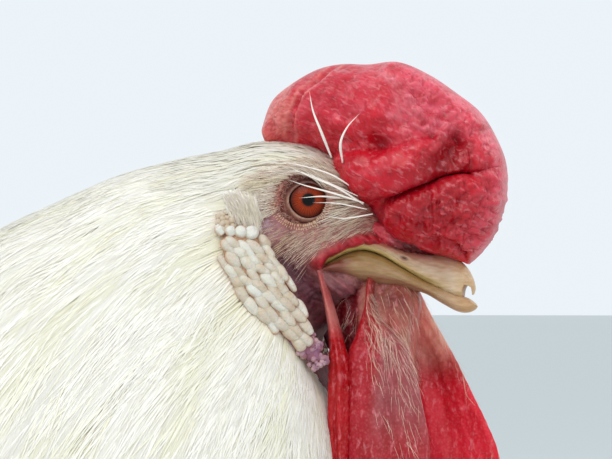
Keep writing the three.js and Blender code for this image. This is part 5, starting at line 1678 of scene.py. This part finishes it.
def wing_height(x, z):
    """How far the wing's outer form stands from the middle plane: a lens over the body's own side. Also
    how far out towards the wing's rim each spot lies, 1 at the rim."""
    rim = wing_rim(np.arange(400) / 400)
    rim_turn = np.arctan2(rim[:, 1], rim[:, 0])
    order = np.argsort(rim_turn)
    turn = np.arctan2(z - WING_CENTRE[1], x - WING_CENTRE[0])
    reach = np.interp(turn, rim_turn[order], np.hypot(*rim.T)[order], period=2 * np.pi)
    share = np.hypot(x - WING_CENTRE[0], z - WING_CENTRE[1]) / reach
    side = np.maximum(trunk_side(x, z), WING_TIP_SIDE)
    raised = WING_EDGE + WING_THICK * np.sqrt(np.clip(1 - share**2, 0, 1)) - 5 * np.clip(share - 1, 0, 1)
    return side + raised, share


def trunk_spot(x, z):
    """As side_spot, over the trunk."""
    return side_spot(x, z, 8.0, float(BODY_LAST))


def trunk_side(x, z):
    """How far the trunk's side stands from the middle plane at spots seen from the side."""
    return np.abs(plumage(*trunk_spot(x, z))[..., 1])


WING_X, WING_Z = (-20, -330), (-205, -85)
wing_x, wing_z = np.meshgrid(np.linspace(*WING_X, 311), np.linspace(*WING_Z, 121), indexing="ij")
wing_ground = ground_of(np.stack([wing_x, -wing_height(wing_x, wing_z)[0], wing_z], -1), False)


def on_wing(x, z):
    """A spot on the wing as a row and column of its ground."""
    return WING_X[0] - np.asarray(x, float), np.asarray(z, float) - WING_Z[0]


def wing_place(x, z):
    """A wing feather's place on the skin's unwrap: that of the body behind it."""
    u, a = trunk_spot(x, z)
    return np.stack([np.mod(a, 2 * np.pi) / (2 * np.pi), u / BODY_LAST], -1)


def other_side(laid):
    """The same vanes mirrored to the left side, with their faces still outwards."""
    place = laid["place"].copy()
    place[:, 0] = 1 - place[:, 0]
    return {**laid, "points": laid["points"][:, :, ::-1] * [1, -1, 1], "place": place}


def wing_row(start, end, count, length, width, turn, root, tip, kind, steps=8, curl=0.0):
    """A row of wing feathers with roots evenly from start to end, later ones lying under earlier ones."""
    share = np.linspace(0, 1, count)
    x, z = (start[k] + (end[k] - start[k]) * share + rng.normal(0, 0.6, count) for k in (0, 1))
    vary = lambda pair: pair[0] + (pair[1] - pair[0]) * share
    return lay(wing_ground, False, *on_wing(x, z), vary(length) * rng.uniform(0.92, 1.05, count), vary(width),
               vary(turn) + rng.normal(0, 0.015, count), vary(root), vary(tip), kind, steps=steps,
               half_count=3, curl=curl, camber=0.2, place=wing_place(x, z))


WING_CORE_REAR = -222


def wing_core(side):
    """The wing's skin: a lens that follows the outer form a feather's depth under it, closed behind."""
    share, lap = np.meshgrid(np.linspace(0.02, 0.9, 14), np.arange(80) / 80, indexing="ij")
    rim = wing_rim(lap)
    x, z = WING_CENTRE[0] + share * rim[..., 0], WING_CENTRE[1] + share * rim[..., 1]
    x = np.maximum(x, WING_CORE_REAR)
    outer = wing_height(x, z)[0] - 3.6 - 1.5 * smooth(-x, 180, 220)
    inner = np.minimum(np.maximum(trunk_side(x, z), WING_TIP_SIDE) - 5, outer - 0.6)
    return closed(np.concatenate([np.stack([x, side * outer, z], -1),
                                  np.stack([x, side * inner, z], -1)[::-1]]))


for side, label in SIDES:
    core = wing_core(side)
    white = np.broadcast_to(DOWN_WHITE, (len(core[0]), 3))
    add_piece(f"wing_core_{label}", core, face_skin, "face_skin", tint=white)

SMALL_COVERTS = 1500
x, z = rng.uniform(-150, -50, SMALL_COVERTS), rng.uniform(-192, -94, SMALL_COVERTS)
fit = (wing_height(x, z)[1] < 0.97) & (z > -178 + 0.3 * (-60 - x)) & (z > -150 - 0.15 * (x + 150))
x, z = x[fit], z[fit]
back = smooth(-x, 60, 150)
small = lay(wing_ground, False, *on_wing(x, z), (15 + 15 * back) * rng.uniform(0.75, 1.3, len(back)),
            8 + 6 * back, 0.15 + rng.normal(0, 0.08, len(back)), -2.5, rng.uniform(0.3, 1.3, len(back)),
            ROUND, steps=7, camber=0.12, place=wing_place(x, z))
wing_sets = [
    wing_row((-150, -178), (-118, -186), 9, (128, 112), (13, 11), (-0.42, -0.3), (-6, -4), (-2.2, -3.2),
             ROUND, 12, 0.12),
    wing_row((-128, -118), (-96, -172), 13, (112, 84), (22, 18), (0.02, 0.1), (-4, -3), (0.6, -1.4), ROUND,
             12, 0.1),
    wing_row((-118, -108), (-84, -168), 15, (58, 46), (18, 15), (0.05, 0.12), (-3, -3), (1.0, 0.1), ROUND, 9,
             0.06),
    wing_row((-112, -106), (-74, -164), 18, (36, 30), (15, 13), (0.08, 0.14), (-3, -3), (1.4, 0.6), ROUND, 8),
    small,
]
quill_paint = feather_paint("quill_white", 0.9, 1.3, 0.2, Roughness=0.6, Sheen_Weight=0.1)
for label, sets in (("right", wing_sets), ("left", [other_side(laid) for laid in wing_sets])):
    vanes_piece(f"wing_feathers_{label}", quill_paint, sets, (CREAM_SHADED_ROOT, WHITE_TIP, 0.04), f"wing_{label}")

# Shoulder feathers run back from the breast over the wing's front edge, and flank feathers hang from the
# trunk over the top of each thigh.
SHOULDER_VANES = 150
x, z = rng.uniform(-84, -30, SHOULDER_VANES * 4), rng.uniform(-186, -96, SHOULDER_VANES * 4)
share_of = wing_height(x, z)[1]
fit = (share_of > 0.95) & (share_of < 1.32)
x, z = x[fit][:SHOULDER_VANES], z[fit][:SHOULDER_VANES]
shoulder = lay(wing_ground, False, *on_wing(x, z), rng.uniform(26, 40, len(x)), rng.uniform(6, 9, len(x)),
               0.12 + rng.normal(0, 0.09, len(x)), -3.0, rng.uniform(0.1, 0.8, len(x)), HACKLE, steps=8,
               half_count=1, camber=0.06, ease=1.1, place=wing_place(x, z))
FLANK_X, FLANK_Z = (-52, -158), (-176, -262)
flank_z, flank_x = np.meshgrid(np.linspace(*FLANK_Z, 87), np.linspace(*FLANK_X, 107), indexing="ij")
station = np.interp(-flank_z, [-row[1] for row in THIGH], np.arange(len(THIGH)))
thigh_x, _, thigh_out, thigh_deep, thigh_wide = np.moveaxis(track(THIGH, station), -1, 0)
reach = 1 - ((flank_x - thigh_x) / thigh_deep) ** 2
thigh_side = np.where(reach > 0, thigh_out + thigh_wide * np.sqrt(np.clip(reach, 0, 1)), 0)
thigh_side = thigh_side - 0.9 * np.maximum(flank_z + 190, 0)
flank_y = 3 * np.logaddexp(trunk_side(flank_x, flank_z) / 3, thigh_side / 3)
flank_ground = ground_of(np.stack([flank_x, -flank_y, flank_z], -1), False)
FLANK_VANES = 150
x, z = rng.uniform(-130, -64, FLANK_VANES), rng.uniform(-206, -179, FLANK_VANES)
flank = lay(flank_ground, False, FLANK_Z[0] - z, FLANK_X[0] - x, rng.uniform(22, 32, FLANK_VANES),
            rng.uniform(10, 13, FLANK_VANES), rng.normal(0, 0.1, FLANK_VANES), -2.0,
            rng.uniform(-0.6, 0.8, FLANK_VANES), ROUND, steps=7, half_count=1, camber=0.12,
            place=wing_place(x, z))
for label, sets in (("right", [shoulder, flank]), ("left", [other_side(shoulder), other_side(flank)])):
    vanes_piece(f"shoulder_feathers_{label}", body_paint, sets, WHITES)

# ---- Tail ----
# On each side a fan of stiff upright feathers, covered at its root, under four long sickles that arch up
# and back and hang at their tips.

TAIL_ROOT = (-262, -90)


def blade(path, half_width, thick, kind, steps=40, across=9, nicks=0.0):
    """A closed flat feather along a smooth path, upright and facing sideways: thin at both edges, ridged
    along its shaft, with a wavy nicked edge. Returns its points as rings."""
    path = np.asarray(path, float)
    run = track(path, np.linspace(0, len(path) - 1, 240))
    length = np.concatenate([[0], np.cumsum(np.linalg.norm(np.diff(run, axis=0), axis=1))])
    s = np.linspace(0, 1, steps)
    middle = np.stack([np.interp(s * length[-1], length, run[:, k]) for k in range(3)], -1)
    along = unit(np.gradient(middle, axis=0))
    spread = unit(np.cross(along, [0.0, 1.0, 0.0]))
    out = np.cross(spread, along)
    width = half_width * vane_width(kind, s)
    v = np.concatenate([np.linspace(-1, 1, across), np.linspace(1, -1, across)[1:-1]])
    face = np.concatenate([np.ones(across), -np.ones(across - 2)])
    face[[0, across - 1]] = 0
    wave = 1 + nicks * np.sin(s[:, None] * 61 + 2.3 * np.sin(s[:, None] * 17)
                              + 3 * np.sign(v)) * np.abs(v) ** 3
    depth = thick * (0.35 + 0.65 * (1 - v**2)) + thick * 0.9 * bell(v, 0.1)
    ring = middle[:, None] + spread[:, None] * (width[:, None] * wave * v)[..., None]
    ring = ring + out[:, None] * (face * depth * (0.3 + 0.7 * (width / half_width)[:, None]))[..., None]
    return ring, v, s, length[-1]


def blades_piece(name, blades, homes, *nodes):
    """Several closed feathers as one mesh, each a patch of the OFBake map at its root's home place."""
    forms, bake, vane, tint = [], [], [], []
    for (ring, v, s, length), home in zip(blades, homes):
        forms.append(closed(ring))
        grid_v, grid_s = np.broadcast_to(v, ring.shape[:2]).ravel(), np.repeat(s, ring.shape[1])
        grid_v, grid_s = np.append(grid_v, [0, 0]), np.append(grid_s, [0, 1])
        bake.append(np.array(home) + BAKE_HALF * np.stack([grid_v, 2 * grid_s - 1], -1))
        own = rng.uniform(0, 40)
        vane.append(np.stack([grid_v * 16 + own, grid_s * length + own], -1))
        tone = between(CREAM_SHADED_ROOT, WHITE_TIP, smooth(grid_s, 0, 0.3))
        tone = tone * (1 - np.array([0.1, 0.13, 0.28]) * bell(grid_v, 0.1)[:, None])
        tint.append(np.clip(tone * (1 + rng.normal(0, 0.02)), 0, 1))
    maps = (("OFBake", np.vstack(bake)), ("Vane", np.vstack(vane)))
    add_piece(name, together(*forms), quill_paint, "plumage", *nodes, maps=maps, tint=np.vstack(tint))


FAN_COUNT = 7
FAN_STEEP, FAN_FLAT = 66, 12  # how far the first and last fan feathers rise, in degrees
SICKLES = {  # half width, then points: x, z, distance from the middle plane
    "sickle": (14, [
        (-268, -72, 13), (-286, -20, 13.5), (-317, 24, 14), (-360, 42, 15), (-402, 22, 17), (-428, -22, 19),
        (-438, -70, 21),
    ]),
    "sickle_second": (11.5, [
        (-268, -78, 17), (-292, -30, 18.5), (-330, 2, 20), (-372, 4, 22), (-402, -22, 24), (-416, -64, 26),
    ]),
    "sickle_third": (10.5, [
        (-268, -86, 21), (-296, -46, 23), (-330, -26, 25), (-364, -30, 27), (-388, -58, 29.5),
        (-398, -94, 32),
    ]),
    "sickle_fourth": (9.5, [
        (-262, -94, 25), (-288, -68, 28), (-318, -56, 31), (-346, -66, 33.5), (-362, -92, 36),
        (-368, -122, 38),
    ]),
}
for side, label in SIDES:
    fan, homes = [], []
    for i in range(FAN_COUNT):
        share = i / (FAN_COUNT - 1)
        rise = np.radians(FAN_STEEP + (FAN_FLAT - FAN_STEEP) * share)
        length, out = 160 - 35 * share, 2.2 + 7.0 * share
        path = [(TAIL_ROOT[0] - np.cos(rise) * length * s - 6 * s * s, side * (out + 5 * share * s),
                 TAIL_ROOT[1] + np.sin(rise) * length * s + 10 * s * (1 - s)) for s in (0, 0.35, 0.7, 1)]
        fan.append(blade(path, 19, 0.7, ROUND, steps=44, nicks=0.03))
        homes.append((0.5 + side * (0.03 + 0.05 * share), 0.99))
    blades_piece(f"fan_feathers_{label}", fan, homes, f"tail_fan_{label}")
    for k, (name, (half, path)) in enumerate(SICKLES.items()):
        path = [(x, side * out, z) for x, z, out in path]
        plume = blade(path, half, 0.8, HACKLE, steps=90, nicks=0.05)
        home = (0.5 + side * (0.1 + 0.04 * k), 0.985)
        blades_piece(f"plume_{name}_{label}", [plume], [home], f"{name}_{label}")

COVERTS = 150
u = rng.uniform(18.3, 20.6, COVERTS)
a = np.mod(rng.uniform(-2.3, 2.3, COVERTS), 2 * np.pi)
outwards = np.sign(np.sin(a))
coverts = on_body(u, a, rng.uniform(38, 70, COVERTS), rng.uniform(11, 15, COVERTS),
                  0.35 * outwards * (np.abs(np.sin(a)) > 0.2) + rng.normal(0, 0.1, COVERTS), thick_coat(u, a),
                  rng.uniform(-0.5, 1.5, COVERTS), ROUND, steps=9, half_count=3, curl=-0.5 * outwards)
vanes_piece("tail_coverts", body_paint, [coverts], WHITES)

# ---- Legs ----
# The thighs are feathered to just above the hock. Below, the shank and toes are bare yellow skin under
# horny plates: two rows of broad overlapping plates in front, smaller ones behind, pebbles between.

FLOOR_Z = -EYE[2] / MM
STANCE = 42
SHANK = [  # x, z, distance from the middle plane, half depth, half width
    (-119, -283.4, STANCE, 7.2, 7), (-119.5, -289, STANCE, 7.6, 7.4), (-117, -303, STANCE, 6.2, 5.8),
    (-112, -328, STANCE, 5.8, 5.2), (-107, -352, STANCE, 6.2, 5.8), (-103.6, -368, STANCE, 7.4, 7.2),
    (-103, -371.5, STANCE, 7, 7),
]
TOES = {"inner": (-34, 47, 5), "middle": (3, 60, 5.4), "outer": (38, 49, 5), "hind": (202, 25, 4.2)}
FOOT_X, FOOT_RISE, PAD_RADIUS = -101, 7, 8.4
CLAW_LENGTH, CLAW_LAP = 13, 2.0  # beyond the toe's end, and hidden under it


def limb_grid(stations, side, rows, around):
    """An oval at each station of a limb, swept from the front outwards."""
    u, a = sweep(0, len(stations) - 1, rows, around)
    x, z, out, deep, wide = np.moveaxis(track(stations, u), -1, 0)
    return np.stack([x + deep * np.cos(a), side * (out + wide * np.sin(a)), z], -1), a


def plates(along, a, period, half_turn, split):
    """Relief of overlapping plates: each swells towards its lower edge and ends in a step, in one row or
    in two that are split down the middle."""
    shift = np.where(np.sin(a) > 0, 0.5, 0.0) * split
    phase = np.mod(along / period + shift + 0.12 * np.cos(a * 3), 1)
    step = (0.25 + 0.75 * phase) * (1 - smooth(phase, 0.9, 1.0))
    reach = smooth(np.cos(a), np.cos(half_turn), np.cos(half_turn * 0.75))
    groove = split * bell(np.sin(a), 0.1) * (np.cos(a) > 0)
    return (0.55 * step - 0.35 * groove) * reach, reach


def pebbles(along, across):
    """Relief of small rounded scales in staggered rows."""
    stagger = 0.5 * np.mod(np.floor(along / 1.5), 2)
    return 0.28 * np.abs(np.sin(np.pi * along / 1.5)) * np.abs(np.sin(np.pi * (across / 1.9 + stagger)))


leg_skin, leg_sockets, leg_place = flesh("leg_scale", (0.88, 0.78, 0.6), Roughness=0.45,
                                         Subsurface_Weight=0.1)
leg_grain = noise(leg_skin, leg_place, 900.0, 4.0)
join(leg_skin, bump(leg_skin, leg_grain, 0.3, 0.0003), leg_sockets["Normal"])
LEG_YELLOW, LEG_DARK = colour(230, 196, 116), colour(188, 140, 76)


def scaly_tint(relief):
    """Yellow on the scales, browner in the gaps between them."""
    return per_point(between(LEG_DARK, LEG_YELLOW, smooth(relief, -0.1, 0.3)))


def shank_form(side):
    """The shank with plates in front and behind and pebbles on its sides."""
    form, a = limb_grid(SHANK, side, 180, 96)
    along = SHANK[0][1] - form[..., 2]
    front, front_share = plates(along, a, 5.4, 1.15, 1)
    rear, rear_share = plates(along, a + np.pi, 4.4, 0.8, 0)
    sides = pebbles(along, a * 6.5) * (1 - np.maximum(front_share, rear_share))
    relief = front + rear + sides
    normal = unit(np.stack([np.cos(a), side * np.sin(a), 0 * a], -1))
    return form + normal * (relief - 0.35)[..., None], relief


def toe_axes(degrees, side):
    """A toe's level directions, along it and across it."""
    forward = np.array([np.cos(np.radians(degrees)), side * np.sin(np.radians(degrees)), 0])
    return forward, np.array([-forward[1], forward[0], 0])


def toe_form(degrees, length, radius, side):
    """A toe on the floor: rounded above with one row of plates, padded and flat below."""
    s, a = sweep(0, 1, 76, 44)
    forward, across = toe_axes(degrees, side)
    body = radius * (1 - 0.4 * s)
    end = rounded_end(s, 0.93, 0.072, 0.02)
    r = body * (1 + 0.09 * np.cos(s * np.pi * 6)) * end
    relief, reach = plates(s * length, a - np.pi / 2, 3.6, 1.2, 0)
    relief = relief * 0.8 + 0.7 * pebbles(s * length, a * radius) * (1 - reach)
    r = r + (relief - 0.3) * end
    middle = body * 0.86 + 3.2 * (1 - s) ** 2
    x_axis = np.array([FOOT_X, side * STANCE, FLOOR_Z]) + forward * (s * length)[..., None]
    form = x_axis + across * (r * np.cos(a))[..., None]
    form[..., 2] += middle + r * np.sin(a)
    form[..., 2] = np.maximum(form[..., 2], FLOOR_Z)
    return form, relief


def claw_form(degrees, length, radius, side):
    """A horny claw: a tapering curved cone beyond the toe's end."""
    s, a = sweep(0, 1, 30, 28)
    forward, across = toe_axes(degrees, side)
    size = radius * 0.5
    r = size * (1 - 0.88 * s**1.3)
    away = length - CLAW_LAP + s * (CLAW_LENGTH + CLAW_LAP)
    form = np.array([FOOT_X, side * STANCE, FLOOR_Z + size + 0.5]) + forward * away[..., None]
    form = form + across * (0.8 * r * np.cos(a))[..., None]
    form[..., 2] += r * np.sin(a) + 1.6 * np.sin(s * 2.6) - 1.6 * s * s
    form[..., 2] = np.maximum(form[..., 2], FLOOR_Z)
    return closed(form), per_point(between(colour(196, 176, 140), colour(150, 128, 100),
                                           smooth(np.sin(a), 0, 1)))


def spur_form(side):
    """The spur: a short blunt horn, curved up a little, on the inner rear of the shank."""
    s, a = sweep(0, 1, 30, 32)
    outward = unit(np.array([-0.72, -0.66 * side, 0.2]))
    across = unit(np.cross([0, 0, 1], outward))
    r = 4.2 * (1 - 0.82 * s) * rounded_end(s, 0.9, 0.101, 0.05) + 0.12 * np.sin(s * 50)
    form = np.array([-111, side * (STANCE - 3), -345]) + outward * (s * 22)[..., None]
    form = form + across * (r * np.cos(a))[..., None] + np.cross(outward, across) * (r * np.sin(a))[..., None]
    form[..., 2] += 2.5 * s * s
    return closed(form), np.broadcast_to(colour(206, 184, 140), (s.size + 2, 3))


for side, label in SIDES:
    shank, shank_relief = shank_form(side)
    add_piece(f"scaled_shank_{label}", closed(shank), leg_skin, "leg_scale", f"shank_{label}",
              tint=scaly_tint(shank_relief))
    toes, toe_tints = [], []
    for degrees, length, radius in TOES.values():
        toe, relief = toe_form(degrees, length, radius, side)
        toes.append(closed(toe))
        toe_tints.append(scaly_tint(relief))
    v, a = sweep(POLE, np.pi - POLE, 36, 48)
    pad_relief = pebbles(v * 8, a * 8)
    pad = np.stack([np.sin(v) * np.cos(a) * 1.1, np.sin(v) * np.sin(a), np.cos(v) * 0.95], -1)
    pad = pad * (PAD_RADIUS + pad_relief)[..., None] + [FOOT_X, side * STANCE, FLOOR_Z + FOOT_RISE]
    pad[..., 2] = np.maximum(pad[..., 2], FLOOR_Z)
    add_piece(f"scaled_foot_{label}", together(*toes, closed(pad)), leg_skin, "leg_scale", f"foot_{label}",
              tint=np.vstack([*toe_tints, scaly_tint(pad_relief)]))
    for toe_name, (degrees, length, radius) in TOES.items():
        claw, claw_tint = claw_form(degrees, length, radius, side)
        add_piece(f"horn_claw_{toe_name}_{label}", claw, horn, "horn", f"claw_{toe_name}_{label}",
                  tint=claw_tint)
    spur, spur_tint = spur_form(side)
    add_piece(f"horn_spur_{label}", spur, horn, "horn", f"spur_{label}", tint=spur_tint)

# Thigh feathers: soft, rounded, and smaller towards the hock.
THIGH_FEATHERS, THIGH_STEPS = 900, 120
thigh_ground = ground_of(limb_grid(THIGH, -1, THIGH_STEPS + 1, THIGH_STEPS)[0], True)
row = rng.uniform(0, 1, THIGH_FEATHERS) ** 1.25 * 112
col = rng.uniform(0, THIGH_STEPS, THIGH_FEATHERS)
down_share = row / THIGH_STEPS
thigh_home = np.stack([0.72 + 0.06 * np.cos(col / THIGH_STEPS * 2 * np.pi), 0.62 + 0.08 * down_share], -1)
thigh_vanes = lay(thigh_ground, True, row, col, 26 - 12 * down_share, 11 - 5 * down_share,
                  rng.normal(0, 0.12, THIGH_FEATHERS), -2.2 * (1 - 0.5 * down_share),
                  rng.uniform(-0.8, 0.7, THIGH_FEATHERS), DOWNY, steps=5, camber=0.15, place=thigh_home)
for label, laid in (("right", thigh_vanes), ("left", other_side(thigh_vanes))):
    vanes_piece(f"thigh_feathers_{label}", body_paint, [laid], WHITES)
